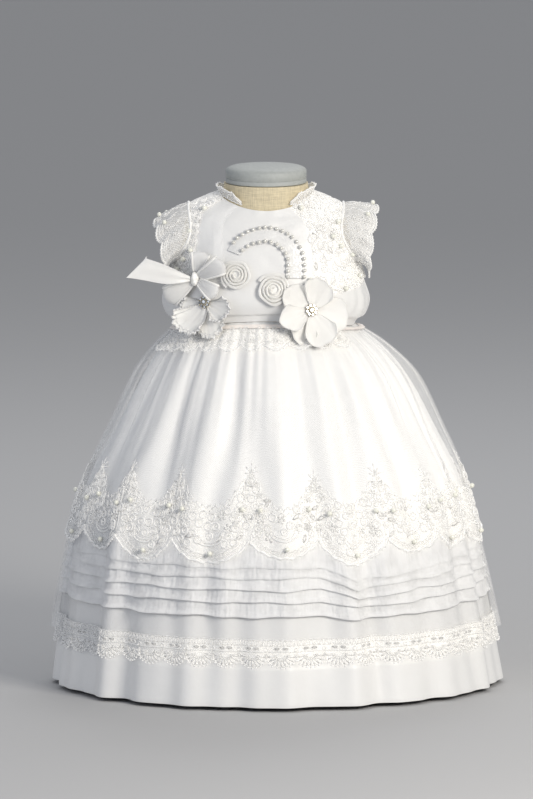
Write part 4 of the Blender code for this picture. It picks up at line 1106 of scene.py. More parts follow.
@functools.cache
def finishes(satin, net, lace, petal, ribbon, linen, pearl, sheer):
    """The gown's materials by name, made once for each choice of colours."""
    soft = lit_through(0.5, 0.004)
    return {
        "satin": woven_cloth("white satin", satin, 0.42, 2600, 0.012, 0.35, Sheen_Weight=0.2),
        "satin_ribbon": woven_cloth(
            "ribbon satin", petal, 0.34, 2200, 0.012, 0.18, Sheen_Weight=0.15, Coat_Weight=0.3, **soft
        ),
        "petal": woven_cloth("petal cloth", petal, 0.5, 2000, 0.015, 0.3, Sheen_Weight=0.25, **soft),
        "cream_ribbon": woven_cloth("cream ribbon", ribbon, 0.5, 2400, 0.02, 0.12),
        "tulle": sheer_cloth("white tulle", net, 800, 0.45, sheer * 0.9, sheer * 1.8),
        "net_tier": sheer_cloth("plain net", net, 800, 0.45, sheer, sheer * 2.2),
        "organza": sheer_cloth("white organza", net, 1400, 0.6, 0.08, 0.2),
        "tucked_organza": sheer_cloth("tucked organza", net, 1400, 0.6, 0.88, 1.0, wrinkle=0.0018),
        "loop_organza": sheer_cloth("loop organza", net, 1400, 0.6, 0.4, 0.62),
        "border_ground": sheer_cloth("border ground", lace, 550, 0.5, 0.22, 0.5, patches=330.0, mottle=1.8),
        "lace_ground": sheer_cloth("lace ground", lace, 550, 0.5, 0.3, 0.65, patches=380.0, mottle=1.7),
        "cord": cord_thread("lace cord", lace),
        # Painted shade: lace cord darkened to grey and laid in the trim's slots, where their openings would lie in
        # shadow.
        "grey_thread": cord_thread("grey thread", shaded(lace, 0.62)),
        "pearl": mottled(
            "pearl", 0.22, 420, 1, shaded(pearl, 0.93), pearl, Coat_Weight=0.6, Coat_Roughness=0.08
        ),
        "silver_pearl": mottled(
            "silver pearl", 0.2, 300, 1, (0.6, 0.59, 0.55), (0.84, 0.83, 0.79),
            Metallic=0.25, Coat_Weight=0.7, Coat_Roughness=0.06,
        ),
        "setting": mottled("pale gold", 0.28, 700, 2, (0.55, 0.47, 0.3), (0.85, 0.78, 0.6), Metallic=1.0),
        "stone": stone_finish(),
        "cap": mottled("grey cap", 0.6, 260, 4, (0.33, 0.35, 0.34), (0.45, 0.47, 0.46), (0.3, 0.0004)),
        "metal": metal_finish(),
        "linen": linen_finish(linen),
        "glitter": glitter_finish(shaded(satin, 0.985)),
    }


# ---- placing the pieces


def finish_piece(pile, name, cloths, slot, nodes=(), sharp=50.0, airy=False):
    """Makes a piece that rides on the root body, and names its slot and the solids it stands for.

    Airy white net and thread pass their light on to the cloth below, so they cast no shadow."""
    look = bpy.context.scene.gown_look
    chosen = [tuple(getattr(look, part)) for part in "satin net lace petal ribbon linen pearl".split()]
    made = finishes(*chosen, look.sheer)
    thing = pile.build(name, [made[cloth] for cloth in cloths.split()], sharp)
    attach(thing, "root")
    if nodes:
        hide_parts(*([nodes] if isinstance(nodes, str) else nodes))
    thing.visible_shadow = not airy
    return thing


def sew_pearls(title, centres, share=1.0, cloth="pearl"):
    """Makes round pearls at many centres as one piece, each a share of the chosen radius."""
    pearls = Pile()
    pearls.balls(centres, bpy.context.scene.gown_look.pearl_radius / MM * share, ROUND_BALL)
    return finish_piece(pearls, title, cloth, "pearl", sharp=None)


def wall(surface, a, b, low, high, wrapped=False, kind=0):
    """A pile with one closed wall between a surface's points at two lifts."""
    pile = Pile()
    pile.shell(surface(a, b, low), surface(a, b, high), wrapped, kind=kind)
    return pile


def stacked_piece(rings, *names):
    """A piece that is one solid through rings, with its name, cloth, slot and solid."""
    pile = Pile()
    pile.stack(rings)
    return finish_piece(pile, *names)


def panel_azimuths(start, end, count):
    """Evenly spaced azimuths of a skirt panel, with half a seam's gap at each end."""
    azimuths = linspace(start, end, count)
    gap = 0.3 * seam_angle(SKIRT["right"].max())
    azimuths[0] += gap
    azimuths[-1] -= gap
    return azimuths[None, :]


PANELS = {"front": (-90, 90), "back": (90, 270)}
PANEL_COLUMNS = {"front": 196, "back": 144}


def make_dress_form():
    """The dress form: linen torso and neck, grey cap, pole and round base, all turned from rings."""
    azimuths = arange(90)[None, :] * 4.0
    levels = column_of(0, NECK_TOP, 84)
    rings = body_point(levels, azimuths, eased=0.0)
    underside = ((FORM_FOOT, FORM_FOOT_DROP), (0.8, 4), (0.93, 2))
    foot = [rings[:1] * (share, share, 1) - (0, 0, drop) for share, drop in underside]
    stacked_piece(concatenate([*foot, rings]), "linen_torso", "linen", "linen", "form_torso")
    circle = circle_of(np.array((0, -1, 0)), np.array((1, 0, 0)), radians(azimuths[0]))
    top = BODY["side_height"][NECK_TOP] + SEAM
    profile = [
        (0.97, 0), (1, 0.6), (1, 4), (0.985, 4.6), (1, 5.2), (1, 12), (0.985, 13.4), (0.95, 14.6),
        (0.88, 15.8), (0.7, 16.8), (0.5, 17.5), (0.2, CAP_HEIGHT),
    ]
    cap = [circle * CAP_RADIUS * out + (0, 0, top + rise) for out, rise in profile]
    stacked_piece(cap, "grey_neck_cap", "cap", "cap", "form_neck_cap")
    pole_top = BODY["side_height"][0] - FORM_FOOT_DROP - SEAM
    pole = [circle * POLE_RADIUS + (0, 0, z) for z in (BASE_THICKNESS + SEAM, 40, 150, pole_top - 14, pole_top)]
    stacked_piece(pole, "white_pole", "metal", "metal", "form_pole")
    edge = linspace(0, pi / 2, 7)
    profile = [(BASE_RADIUS - 1, 0), (BASE_RADIUS, 0.8), (BASE_RADIUS, BASE_THICKNESS - BASE_BEVEL)]
    inside, below = BASE_RADIUS - BASE_BEVEL, BASE_THICKNESS - BASE_BEVEL
    profile += [(inside + BASE_BEVEL * math.cos(a), below + BASE_BEVEL * math.sin(a)) for a in edge[1:]]
    profile += [(60, BASE_THICKNESS), (POLE_RADIUS, BASE_THICKNESS)]
    base = [circle * radius + (0, 0, z) for radius, z in profile]
    stacked_piece(base, "white_base", "metal", "metal", "form_base")


def make_bodice():
    """Satin bodice: a front and two backs, each a grid of levels and azimuths cut out at the armholes."""
    levels = concatenate([
        linspace(WAIST_SEAM, 7, 42), 8.5 - 1.5 * cos(linspace(0.03, pi - 0.03, 28)),
        linspace(10.02, NECKLINE, 12),
    ])[:, None]
    edge = armhole_azimuth(levels)
    gap = seam_angle(BODY["half_width"][NECKLINE])
    share = row_of(0, 1, 34)
    panels = {
        "front": row_of(-1, 1, 80) * (edge - gap),
        "back_right": 180 - gap - share[:, ::-1] * (edge - 2 * gap),
        "back_left": -(180 - gap - share * (edge - 2 * gap)),
    }
    for name, azimuths in panels.items():
        azimuths = np.sort(azimuths, axis=1)
        pile = wall(bodice_point, levels, azimuths, 0.0, CLOTH)
        piece = finish_piece(pile, f"satin_bodice_{name}", "satin", "satin", f"bodice_{name}")


def make_back_closing():
    """Centre back placket with a stitched edge, and four cloth covered buttons."""
    levels = column_of(WAIST_SEAM, NECKLINE, 90)
    reach = np.degrees(PLACKET_HALF_WIDTH / BODY["back_depth"].max())
    azimuths = 180 + row_of(-reach, reach, 17)
    swell = 0.25 * cos(linspace(-1, 1, 17) * pi * 0.5)[None, :]
    pile = wall(bodice_point, levels, azimuths, PLACKET_LIFT, PLACKET_LIFT + CLOTH + swell)
    placket = finish_piece(pile, "satin_placket", "satin", "satin", "back_placket")
    stitches = Embroidery(lambda a, b, lift: bodice_point(b, a, PLACKET_LIFT + CLOTH + lift))
    for side in (-0.78, 0.78):
        at = column_of(3.2, 11.85, 46) + np.array([0, 0.06, 0.12])[None, :]
        stitches.line(180 + side * reach, at, radius=0.18)
    thread = stitches.finish("placket_stitching", airy=False)
    for number, level in enumerate(BUTTON_LEVELS, 1):
        foot = bodice_point(level, 180.0, PLACKET_LIFT + CLOTH + GAP)
        right, up, normal = face_frame(body_normal(level, 180.0))
        circle = circle_of(right, up, round_turn(36))
        dome = linspace(0, 0.94, 7) * pi / 2
        profile = [(0.9, 0.0), (1.0, 0.18), (1.0, 0.3)]
        profile += [(math.cos(a), 0.3 + 0.66 * math.sin(a)) for a in dome[1:]]
        button = [foot + circle * BUTTON_RADIUS * r + normal * BUTTON_HEIGHT * h for r, h in profile]
        stacked_piece(button, f"covered_button_{number}", "satin", "satin", f"back_button_{number}")


def yoke_azimuths(name, level, share):
    """Azimuths of a yoke at a level, from its inner edge at share 0 to the armhole at share 1."""
    foot_inner, neck_inner, _, side, start, _ = YOKES[name]
    gap = 2 * seam_angle(BODY["half_width"][NECKLINE])
    inside = interp(level, (UNDERARM, NECKLINE), (foot_inner, neck_inner))
    turned = inside + (armhole_azimuth(level) - gap - inside) * share
    return start + side * turned if start == 0 else start - side * turned


def yoke_level(name, climb, share):
    """Level of a yoke's point: its foot slants from the foot's level at the inner edge up to the side."""
    foot_level = YOKES[name][2]
    foot = foot_level + (YOKE_TOP_FOOT_LEVEL - foot_level) * share
    return foot + (NECKLINE - foot) * climb


def make_lace_yokes():
    """Corded lace yokes: a net ground filled with florets, rings and leaves, edge cords and pearls."""
    for name in YOKES:

        def place(climb, share):
            """Azimuth and level of a yoke's point."""
            level = yoke_level(name, climb, share)
            return yoke_azimuths(name, level, share), level

        azimuth, level = place(column_of(0, 1, 48), row_of(0, 1, 24))
        if azimuth[0, 0] > azimuth[0, -1]:
            level, azimuth = level[:, ::-1], azimuth[:, ::-1]
        ground = wall(bodice_point, level, azimuth, YOKE_LIFT, YOKE_LIFT + NET_GROUND)
        net = finish_piece(ground, f"net_{name}", "lace_ground", "lace", name, airy=True)
        work = Embroidery(lambda a, b, lift: bodice_point(b, a, YOKE_LIFT + NET_GROUND + lift))
        draw = np.random.default_rng(11)
        across, rows = 6 if "front_left" in name else 8, 12
        # Wavy cords run up between the motifs.
        lines = column_of(0.06, 0.94, across - 2)
        climbs = row_of(0.015, 0.985, 60)
        wave = 0.3 / across * sin(climbs * 40 + lines * 37) + 0.2 / across * sin(climbs * 19 + lines * 11)
        work.line(*place(climbs, clip(lines + wave, 0.02, 0.98)), radius=0.5)
        row, column = lattice(rows, across)
        shares = (column + 0.5 * (row % 2) + 0.25 + draw.uniform(-0.15, 0.15, row.shape)) / across
        climbs = (row + 0.5 + draw.uniform(-0.15, 0.15, row.shape)) / rows
        keep = (shares > 0.07) & (shares < 0.93)
        work.scatter(*place(climbs[keep], shares[keep]), 4.5, 13)
        for edge in (0.0, 1.0):
            climbs = row_of(0.0, 1.0, 130)
            inset = 0.03 + 0.035 * np.abs(sin(climbs * 30))
            work.line(*place(climbs, np.abs(edge - inset)), radius=0.8 if edge else 0.5, sides=5)
        shares = row_of(0.02, 0.98, 70)
        work.line(*place(0.015 + 0.025 * np.abs(sin(shares * 24)), shares), radius=0.9, sides=5)
        pieces = [work.finish(f"cords_{name}", name)]
        if name in YOKE_PEARLS:
            xs, heights = np.array(YOKE_PEARLS[name], float).T
            levels, azimuths = front_places(xs, heights)
            pieces.append(sew_pearls(f"pearls_{name}", bodice_point(levels, azimuths, YOKE_LIFT + 2.7)))


def make_organza_drape():
    """Organza drape beside the left yoke: a strip with soft folds that run along it."""
    levels = column_of(DRAPE_FOOT_LEVEL, NECKLINE, 80)
    span = (UNDERARM, NECKLINE)
    yoke = interp(levels, span, YOKES["lace_yoke_front_left"][:2]) - DRAPE_GAP
    inside = interp(levels, span, DRAPE_INNER)
    share = row_of(1, 0, 40)
    azimuths = -(inside + (yoke - inside) * share)
    folds = 0.3 * sin(share * 13 + levels * 0.5) + 0.15 * sin(share * 29 - levels * 0.9)
    folds = (folds + 0.4) * sin(pi * clip(share, 0.02, 0.98))
    pile = wall(bodice_point, levels, azimuths, DRAPE_LIFT + folds, DRAPE_LIFT + folds + NET_GROUND)
    piece = finish_piece(pile, "organza_drape_folds", "organza", "net", "organza_drape", airy=True)


def sleeve_point(size, turn, share, lift):
    """A point of a cap sleeve: from the armhole's oval at share 0 out to the edge oval at share 1."""
    turn, share, lift = aligned(turn, share, lift)
    middle = (UNDERARM + SHOULDER) / 2
    half = SLEEVE_ROOT * (SHOULDER - UNDERARM) / 2
    angle = radians(turn)
    level = middle + half * sin(angle)
    azimuth = size["side"] * (90 + SLEEVE_ROOT * ARMHOLE_REACH * cos(angle))
    normal = body_normal(level, azimuth)
    root = body_point(level, azimuth) + SLEEVE_LIFT * normal
    edge_x = size["edge_x"] + size["droop_x"] * clip(sin(angle), 0, 1)
    edge_y = size["half_depth"] * cos(angle)
    edge_z = size["centre_height"] + size["half_height"] * sin(angle)
    edge = stack([size["side"] * edge_x, edge_y, edge_z], axis=-1)
    reach = edge - root
    bulge = SLEEVE_BULGE * 4 * share * (1 - share)
    flute = 1.6 * share * sin(radians(turn * SLEEVE_LOBES))
    radial = unit(stack([0 * angle, cos(angle), sin(angle)], axis=-1))
    return root + reach * share[..., None] + normal * bulge[..., None] + radial * (flute + lift)[..., None]


def make_cap_sleeves():
    """Lace cap sleeves: a net funnel with a scalloped corded edge, florets on each scallop, and pearls."""
    for size in rows_of(SLEEVES):
        side = "right" if size["side"] > 0 else "left"
        turn = arange(144)[None, :] * 360 / 144 * size["side"]
        scallop = 1 + SLEEVE_SCALLOP * np.abs(sin(radians(turn * SLEEVE_LOBES / 2)))
        # The shares run inwards to the armhole, so that the wall's rows climb from the edge.
        share = column_of(1, 0, 8) * scallop
        sleeve = functools.partial(sleeve_point, size)
        ground = wall(sleeve, turn, share, 0.0, STANDING_NET, wrapped=True)
        net = finish_piece(ground, f"net_sleeve_{side}", "lace_ground", "lace", f"sleeve_{side}")
        work = Embroidery(raised(sleeve, STANDING_NET))
        at = linspace(0, 360, 36 * SLEEVE_LOBES, endpoint=False)[None, :]
        lobe = np.abs(sin(radians(at * SLEEVE_LOBES / 2)))
        for inset, radius in ((0.0, 1.0), (0.13, 0.55), (0.24, 0.5)):
            work.line(at, 1 - inset + SLEEVE_SCALLOP * lobe, radius=radius, sides=5, closed=True)
        # Piping round the armhole's seam.
        work.line(at[:, ::2], 0.0, radius=1.4, sides=6, closed=True)
        work.knots(at[:, ::4], 1.03 + SLEEVE_SCALLOP * lobe[:, ::4], 0.9)
        centres = (arange(SLEEVE_LOBES) + 0.5) * 360 / SLEEVE_LOBES
        work.florets(centres, 0.72, 4.4, 6)
        work.rings(centres, 0.98, 2.2, 0.55)
        between = arange(SLEEVE_LOBES) * 360 / SLEEVE_LOBES
        work.florets(between, 0.5, 3.6, 5)
        work.rings(between, 0.8, 1.8, 0.5)
        work.florets(centres, 0.34, 3.4, 5)
        stem = row_of(0.05, 1.0, 14)
        starts = (arange(2 * SLEEVE_LOBES) * 180 / SLEEVE_LOBES)[:, None]
        work.line(starts + 5 * sin(stem * 12 + starts), stem, radius=0.45)
        cords = work.finish(f"cords_sleeve_{side}", f"sleeve_{side}")
        tops = (90, 50, 130) if size["side"] > 0 else (90, 62, 128)
        beads = sew_pearls(f"pearls_sleeve_{side}", sleeve_point(size, tops, (0.95, 0.7, 0.8), 2.6), 0.92)


def neck_lace_point(side, azimuth, share, lift):
    """A point of the standing neck lace: straight up from the neckline with a slight lean outwards."""
    azimuth, share, lift = aligned(azimuth, share, lift)
    height = interp(azimuth, NECK_LACE["azimuth"], NECK_LACE["height"])
    foot = body_point(NECKLINE, side * azimuth) + (0, 0, NECK_LACE_FOOT)
    outward = unit(foot * (1, 1, 0))
    wave = 0.5 * sin(azimuth * 0.55) * share
    out = NECK_LACE_LEAN * share + wave + lift
    return foot + (height * share)[..., None] * np.array((0, 0, 1.0)) + outward * out[..., None]


def make_neck_lace():
    """Scalloped lace that stands up round the neck: net, edge cord with knots, arcs and florets."""
    first, last = NECK_LACE["azimuth"][0], NECK_LACE["azimuth"][-1]
    pitch = (last - first) / NECK_LOBES
    for side, name in ((1, "right"), (-1, "left")):
        azimuth = linspace(first, last, 145)[None, ::side]
        lobe = np.abs(sin(pi * (azimuth - first) / pitch))
        height = interp(azimuth, NECK_LACE["azimuth"], NECK_LACE["height"])
        top = (height + NECK_LACE_WAVE * lobe) / height
        share = column_of(0, 1, 9) * top
        stand = functools.partial(neck_lace_point, side)
        ground = wall(stand, azimuth, share, 0.0, STANDING_NET)
        net = finish_piece(ground, f"net_neck_{name}", "lace_ground", "lace", f"neck_lace_{name}")
        work = Embroidery(raised(stand, STANDING_NET))
        for inset, radius in ((0.0, 0.85), (2.6, 0.5)):
            work.line(azimuth, top, y=-inset, radius=radius, sides=5)
        work.knots(azimuth[:, ::5], top[:, ::5], 0.75, y=1.0)
        centres = first + pitch * (arange(NECK_LOBES) + 0.5)
        work.florets(centres, 0.62, 2.8, 6)
        work.rings(centres + pitch / 2 - 1, 0.45, 1.5, 0.45)
        foot = row_of(first, last, 90)
        work.line(foot, 0.08 + 0.06 * sin(foot * 1.1), radius=0.55)
        cords = work.finish(f"cords_neck_{name}", f"neck_lace_{name}")


def make_underskirt():
    """Gathered satin underskirt, waist to hem, with a turned hem and its stitched line."""
    heights = concatenate([linspace(HEM_HEIGHT, 46.0, 22), linspace(51, WAIST_HEIGHT, 50)])[:, None]
    for name, (start, end) in PANELS.items():
        azimuths = panel_azimuths(start, end, PANEL_COLUMNS[name])
        turned = 0.35 * clip((44 - heights) / 1.2, 0, 1)
        roll = -0.8 * exp(-(((heights - HEM_HEIGHT) / 1.6) ** 2))
        dent = -0.4 * exp(-(((heights - 44.5) / 1.0) ** 2))
        pile = wall(skirt_point, azimuths, heights, 0.0, CLOTH + turned + dent + roll * 0.4)
        piece = finish_piece(pile, f"satin_underskirt_{name}", "satin", "satin", f"underskirt_{name}")


def tuck_rows(azimuth):
    """Heights and lifts of the tier's outer side from the hem up: each tuck is a small hanging fold."""
    wrapped = wrapped_turn(azimuth)
    share = interp(wrapped, SAG["azimuth"], SAG["share"])
    base = TIER_LIFT + 0.8
    rows = []
    order = np.argsort(TUCKS["height"])
    previous_height = np.full_like(wrapped, TIER_HEM)
    for number, tuck in enumerate(order):
        sway = 0.8 * sin(radians(wrapped) * 13 + number * 2.0) + 0.4 * sin(radians(wrapped) * 31 + number)
        ridge = TUCKS["height"][tuck] - TUCKS["sag"][tuck] * share + sway
        gap = ridge - previous_height
        steps = BAND_STEPS if number == 0 else TUCK_STEPS
        for step in range(steps):
            part = step / steps
            pucker = sin(pi * part) if number else min(1.0, 4 * (1 - part)) * part**0.5
            crinkle = 0.48 * ripple(wrapped, part * 9.0, 20 + number, 70, 170, 0.9) if number else 0.0
            rows.append((previous_height + gap * part * 0.92, base + pucker * (crinkle + 0.15)))
        deep = TUCK_DEPTHS[number]
        for rise, out in TUCK_PROFILE:
            rows.append((ridge + rise, base + out * deep))
        previous_height = ridge + 4.0
    for part in (0.0, 0.2, 0.5, 1.0):
        rows.append((previous_height + (TIER_TOP - previous_height) * part, base + 0.3 * (part == 0.0)))
    heights = concatenate([row[0] + 0 * wrapped for row in rows])
    lifts = concatenate([row[1] + 0 * wrapped for row in rows])
    return heights, lifts


def make_tucked_tier():
    """Organza tier with five pintucks, laid over the satin, and a plain sheer band below them."""
    for name, (start, end) in PANELS.items():
        azimuths = panel_azimuths(start, end, PANEL_COLUMNS[name] + 40)
        heights, lifts = tuck_rows(azimuths)
        inner_heights = np.minimum(np.maximum.accumulate(heights, axis=0), TIER_TOP)
        inner_heights = np.maximum.accumulate(np.minimum(inner_heights, heights + 1.5), axis=0)
        inner_lifts = np.full_like(inner_heights, TIER_LIFT)
        pile = Pile()
        # Above the lowest tuck the cloth lies double, so less shows through it.
        sheer = (arange(len(heights) - 1) < BAND_STEPS).astype(int)
        inner = skirt_point(azimuths, inner_heights, inner_lifts)
        pile.shell(inner, skirt_point(azimuths, heights, lifts), kind=sheer)
        cloths = "tucked_organza organza"
        piece = finish_piece(pile, f"tucked_organza_{name}", cloths, "satin", f"tucked_tier_{name}")


def make_guipure_trim():
    """Guipure trim: fans of radiating drops tipped with knots, under paired oval slots and short threads."""
    for name, (start, end) in PANELS.items():
        azimuths = panel_azimuths(start, end, 289)
        fan = np.abs(sin(pi * azimuths / TRIM_PITCH)) ** 0.75
        foot = TRIM_VALLEY - TRIM_FAN * fan
        share = column_of(0, 1, 4)
        heights = foot + (TRIM_TOP - foot) * share
        ground = wall(skirt_point, azimuths, heights, TRIM_LIFT, TRIM_LIFT + NET_GROUND)
        net = finish_piece(ground, f"trim_ground_{name}", "lace_ground", "lace", f"tier_trim_{name}", airy=True)
        work = Embroidery(raised(skirt_point, TRIM_LIFT + NET_GROUND))
        count = int(round((end - start) / TRIM_PITCH))
        centres = (start + TRIM_PITCH * (arange(count) + 0.5))[:, None]
        turn = row_of(0, pi, 13)
        middle = TRIM_VALLEY + 6
        for reach, radius in ((0.98, 0.6), (0.46, 0.75), (0.26, 0.65)):
            a = centres + TRIM_PITCH / 2 * reach * cos(turn)
            work.line(a, middle - (TRIM_FAN + 5.5) * reach * sin(turn) ** 0.8, radius=radius)
        drops = row_of(0.05, 0.95, 9) * pi
        a = centres + TRIM_PITCH / 2 * 0.3 * cos(drops)
        b = middle - (TRIM_FAN + 5.5) * 0.3 * sin(drops)
        long = np.hypot(TRIM_PITCH / 2 * 3.55 * cos(drops), (TRIM_FAN + 5.5) * sin(drops)) * 0.76
        work.petals(a, b, -drops, 0.0, long, 1.15, 0.8)
        knot = row_of(0.03, 0.97, 11) * pi
        a = centres + TRIM_PITCH / 2 * 1.02 * cos(knot)
        work.knots(a, middle - (TRIM_FAN + 7) * sin(knot) ** 0.8, 1.15)
        # Pairs of slots edged with cord and filled with grey thread, which is painted shade for the shadow inside the
        # openings, then threads up to the sewn line.
        for aside in (-1.05, 1.05):
            slot = round_turn(10)
            work.line(centres + aside, 62.2, 3.3 * cos(slot), 1.5 * sin(slot), radius=0.6, closed=True)
            work.petals(centres[:, 0] + aside, 62.2, 0.0, -2.9, 5.8, 1.3, 0.5, corners=8, kind=1)
        work.rings(centres[:, 0] + TRIM_PITCH / 2, 61.0, 2.0, 0.6)
        work.florets(centres[:, 0] + TRIM_PITCH / 2, 55.5, 2.6, 5, rimmed=False)
        line = row_of(start + 0.2, end - 0.2, 300)
        for height, radius, wave in ((70.4, 0.6, 0.15), (65.2, 0.5, 0.5), (59.2, 0.7, 0.3)):
            work.line(line, height + wave * sin(line * 5.1), radius=radius)
        bars = column_of(start + 0.3, end - 0.3, count * 11)
        lean = 0.22 * (-1) ** arange(len(bars))[:, None]
        work.line(bars + lean * np.array([-1, 1]), np.array([64.6, 70.4]), radius=0.42)
        cords = work.finish(f"trim_cords_{name}", f"tier_trim_{name}", "cord grey_thread")


def make_net_tier():
    """Plain net tier round the back, whose ends stand out at both sides."""
    azimuths = row_of(NET_ENDS, 360 - NET_ENDS, 240)
    heights = column_of(NET["height"][0], NET["height"][-1], 20)
    lift = curve(NET["height"], NET["lift"], heights) + 0.8 * ripple(azimuths, heights, 8, 30, 60, 0.02)
    lift = np.minimum(lift, where(heights > 135, overlay_lift(azimuths, np.maximum(heights, 140)) - 1.2, 99))
    pile = wall(skirt_point, azimuths, heights, lift, lift + STANDING_NET)
    piece = finish_piece(pile, "plain_net_back", "net_tier", "net", "net_tier_back", airy=True)


def make_tulle_overlay():
    """Tulle overlay, gathered at the waist, down to its scalloped edge."""
    for name, (start, end) in PANELS.items():
        azimuths = panel_azimuths(start, end, PANEL_COLUMNS[name] + 60)
        edge = scallop_edge(azimuths)
        top = festoon(azimuths)
        share = column_of(0, 1, BORDER_ROWS)
        upper = linspace(0, 1, TULLE_ROWS)[1:, None]
        heights = concatenate([edge + (top - edge) * share, top + (WAIST_HEIGHT - top) * upper])
        lift = overlay_lift(azimuths, heights)
        # The border's ground is worked closer than the tulle above it.
        dense = (arange(len(heights) - 1) < BORDER_ROWS - 1).astype(int)
        pile = wall(skirt_point, azimuths, heights, lift, lift + TULLE, kind=dense)
        cloths = "tulle border_ground"
        piece = finish_piece(pile, f"tulle_{name}", cloths, "net", f"tulle_overlay_{name}", airy=True)
        cords = make_lace_border(name)


def festoon(azimuth):
    """Height of the border's upper edge: it hangs between the peaks above the valleys."""
    index, across = scallop_place(azimuth)
    peak = where(across < 0.5, SCALLOPS["peak_height"][index], SCALLOPS["peak_height"][index + 1]) - PEAK_TOP
    return FESTOON_HEIGHT + (peak - FESTOON_HEIGHT) * np.abs(cos(pi * across)) ** FESTOON_POWER


def make_lace_border(name):
    """Corded border worked on the overlay: edge cords, arcs, ring florets and a sprig over each valley."""
    starts = SCALLOPS["start"]
    middle = (starts[:-1] + starts[1:]) / 2
    inside = np.nonzero(np.abs(middle) < 90)[0] if name == "front" else np.nonzero(np.abs(middle) > 90)[0]
    start = starts[inside][:, None]
    span = (starts[inside + 1] - starts[inside])[:, None]
    tip = SCALLOPS["tip_height"][inside][:, None]
    work = Embroidery(overlay_point, -0.3)
    across = (1 - cos(pi * linspace(0, 1, 61)))[None, :] / 2

    def arc(part, share):
        """A line inside the scallop's edge, drawn in towards a point above its middle by a share."""
        top = VALLEY + 8
        low = VALLEY - (VALLEY - tip) * sin(pi * part) ** SCALLOP_ROUND
        wander = 0.7 * sin(part * 41 + tip)
        return start + span * (0.5 + (part - 0.5) * share), top + (low - top) * share + wander

    thick = 1.3 + 0.35 * sin(arange(61) * 1.9) + 0.2 * sin(arange(61) * 0.8)
    work.line(*arc(across, 0.985), radius=thick[None, :], sides=5)
    for share, radius in ((0.87, 0.5), (0.74, 0.5)):
        work.line(*arc(across[:, ::2], share), radius=radius)
    work.knots(*arc(row_of(0.02, 0.98, 23), 1.04), 0.8)
    work.rings(*arc(row_of(0.05, 0.95, 15), 0.8), 1.5, 0.42, 6, sides=3)
    centre, low = (start + span / 2)[:, 0], tip[:, 0]
    # A crescent of two thick cords hangs in the middle of each scallop, with a curl at either tip.
    hang = row_of(0, pi, 25)
    wide = clip(span * 0.8, 7, 15)
    for shrink, radius in ((1.0, 0.45 + 0.75 * sin(hang)), (0.74, 0.4 + 0.5 * sin(hang))):
        crescent = wide * shrink * cos(hang), -wide * 0.72 * shrink * sin(hang)
        work.line(centre[:, None], low[:, None] + 27, *crescent, radius=radius)
    for side in (-1, 1):
        work.rings(centre, low + 29, 3.2, 0.95, 10, x=side * (wide[:, 0] + 1.5))
    work.rings(centre, low + 26, 3.4, 0.95, 10)
    work.knots(centre, low + 26, 1.1)
    # Sprigs that climb from the valleys to a small star.
    valley = starts[:-1]
    peak = SCALLOPS["peak_height"][:-1]
    here = np.abs(valley) <= 90.5 if name == "front" else np.abs(valley) > 90.5
    valley, peak = valley[here], peak[here]
    climb = row_of(0, 1, 22)
    for aside, phase in ((0.0, 0.0), (0.5, 2.0), (-0.5, 4.0)):
        stem = VALLEY + 2 + (peak[:, None] - VALLEY - 10) * climb
        sway = aside * (1 - climb) * 6 + (0.4 + 0.8 * abs(aside)) * sin(climb * 8 + phase + valley[:, None])
        work.line(valley[:, None] + sway, stem, radius=0.5)
    for side in (-1, 1):
        # Ring florets climb both flanks of each peak.
        for step, (rise, apart, size) in enumerate(CLIMBERS):
            a = valley + side * apart + 0.5 * sin(valley * 1.7 + step)
            b = VALLEY + rise * (peak - VALLEY) / 70 + 1.5 * sin(valley * 2.3 + side + step)
            if step % 3 == 1:
                work.florets(a, b, size, 5, side * 0.5)
            else:
                work.rings(a, b, size * 0.8, 0.9, 10)
                work.knots(a, b, 0.8)
        for rise, turn, length in ((48, 0.8, 8), (20, 1.0, 9)):
            b = VALLEY + rise * (peak - VALLEY) / 70
            work.leaves(valley, b, pi / 2 - side * turn, length, 1.9)
    for turn, length in ((0.0, 12), (0.6, 9), (-0.7, 10), (1.35, 8), (-1.5, 7), (2.3, 5), (-2.1, 5)):
        work.petals(valley, peak - 11, pi / 2 - turn, 0.0, length, 0.75, 0.6, corners=6, point=1.0)
    work.knots(valley, peak - 11, 1.2)
    # Mixed motifs fill the rest on an uneven lattice.
    draw = np.random.default_rng(31 if name == "front" else 32)
    rows, columns = lattice(12, 60)
    a = PANELS[name][0] + (columns + 0.5 * (rows % 2) + draw.uniform(-0.22, 0.22, rows.shape)) * FILL_PITCH
    b = 149 + (rows + draw.uniform(-0.3, 0.3, rows.shape)) * 8.0
    keep = (b > scallop_edge(a) + 13) & (b < festoon(a) - 3.5)
    keep &= draw.uniform(0, 1, rows.shape) > clip((b - 196) / 60, 0, 0.6)
    from_middle = np.abs(((a - PANELS[name][0]) % 180) - 90)
    keep &= from_middle < 88.5
    nearest = np.min(np.hypot((a[..., None] - centre) * 3.3, b[..., None] - low - 22), axis=-1)
    keep &= nearest > 10
    work.scatter(a[keep], b[keep], 4.6, 33)
    # A fine wandering thread ties the motifs together along the upper edge.
    line = row_of(PANELS[name][0] + 1, PANELS[name][0] + 179, 520)
    for drop, radius in ((1.5, 0.6), (7.0, 0.5)):
        wander = 1.8 * sin(line * 3.1 + drop) + 1.0 * sin(line * 7.3)
        work.line(line, np.maximum(festoon(line) - drop + wander, scallop_edge(line) + 6), radius=radius)
    cords = work.finish(f"lace_border_cords_{name}", f"lace_border_{name}")
    a = concatenate([valley - 2.4, valley + 3.2, centre + 0.6])
    b = concatenate([193 + 3 * sin(valley), 194 + 4 * cos(valley), low + 9])
    sew_pearls(f"lace_border_pearls_{name}", overlay_point(a, b, 2.2))
    return cords


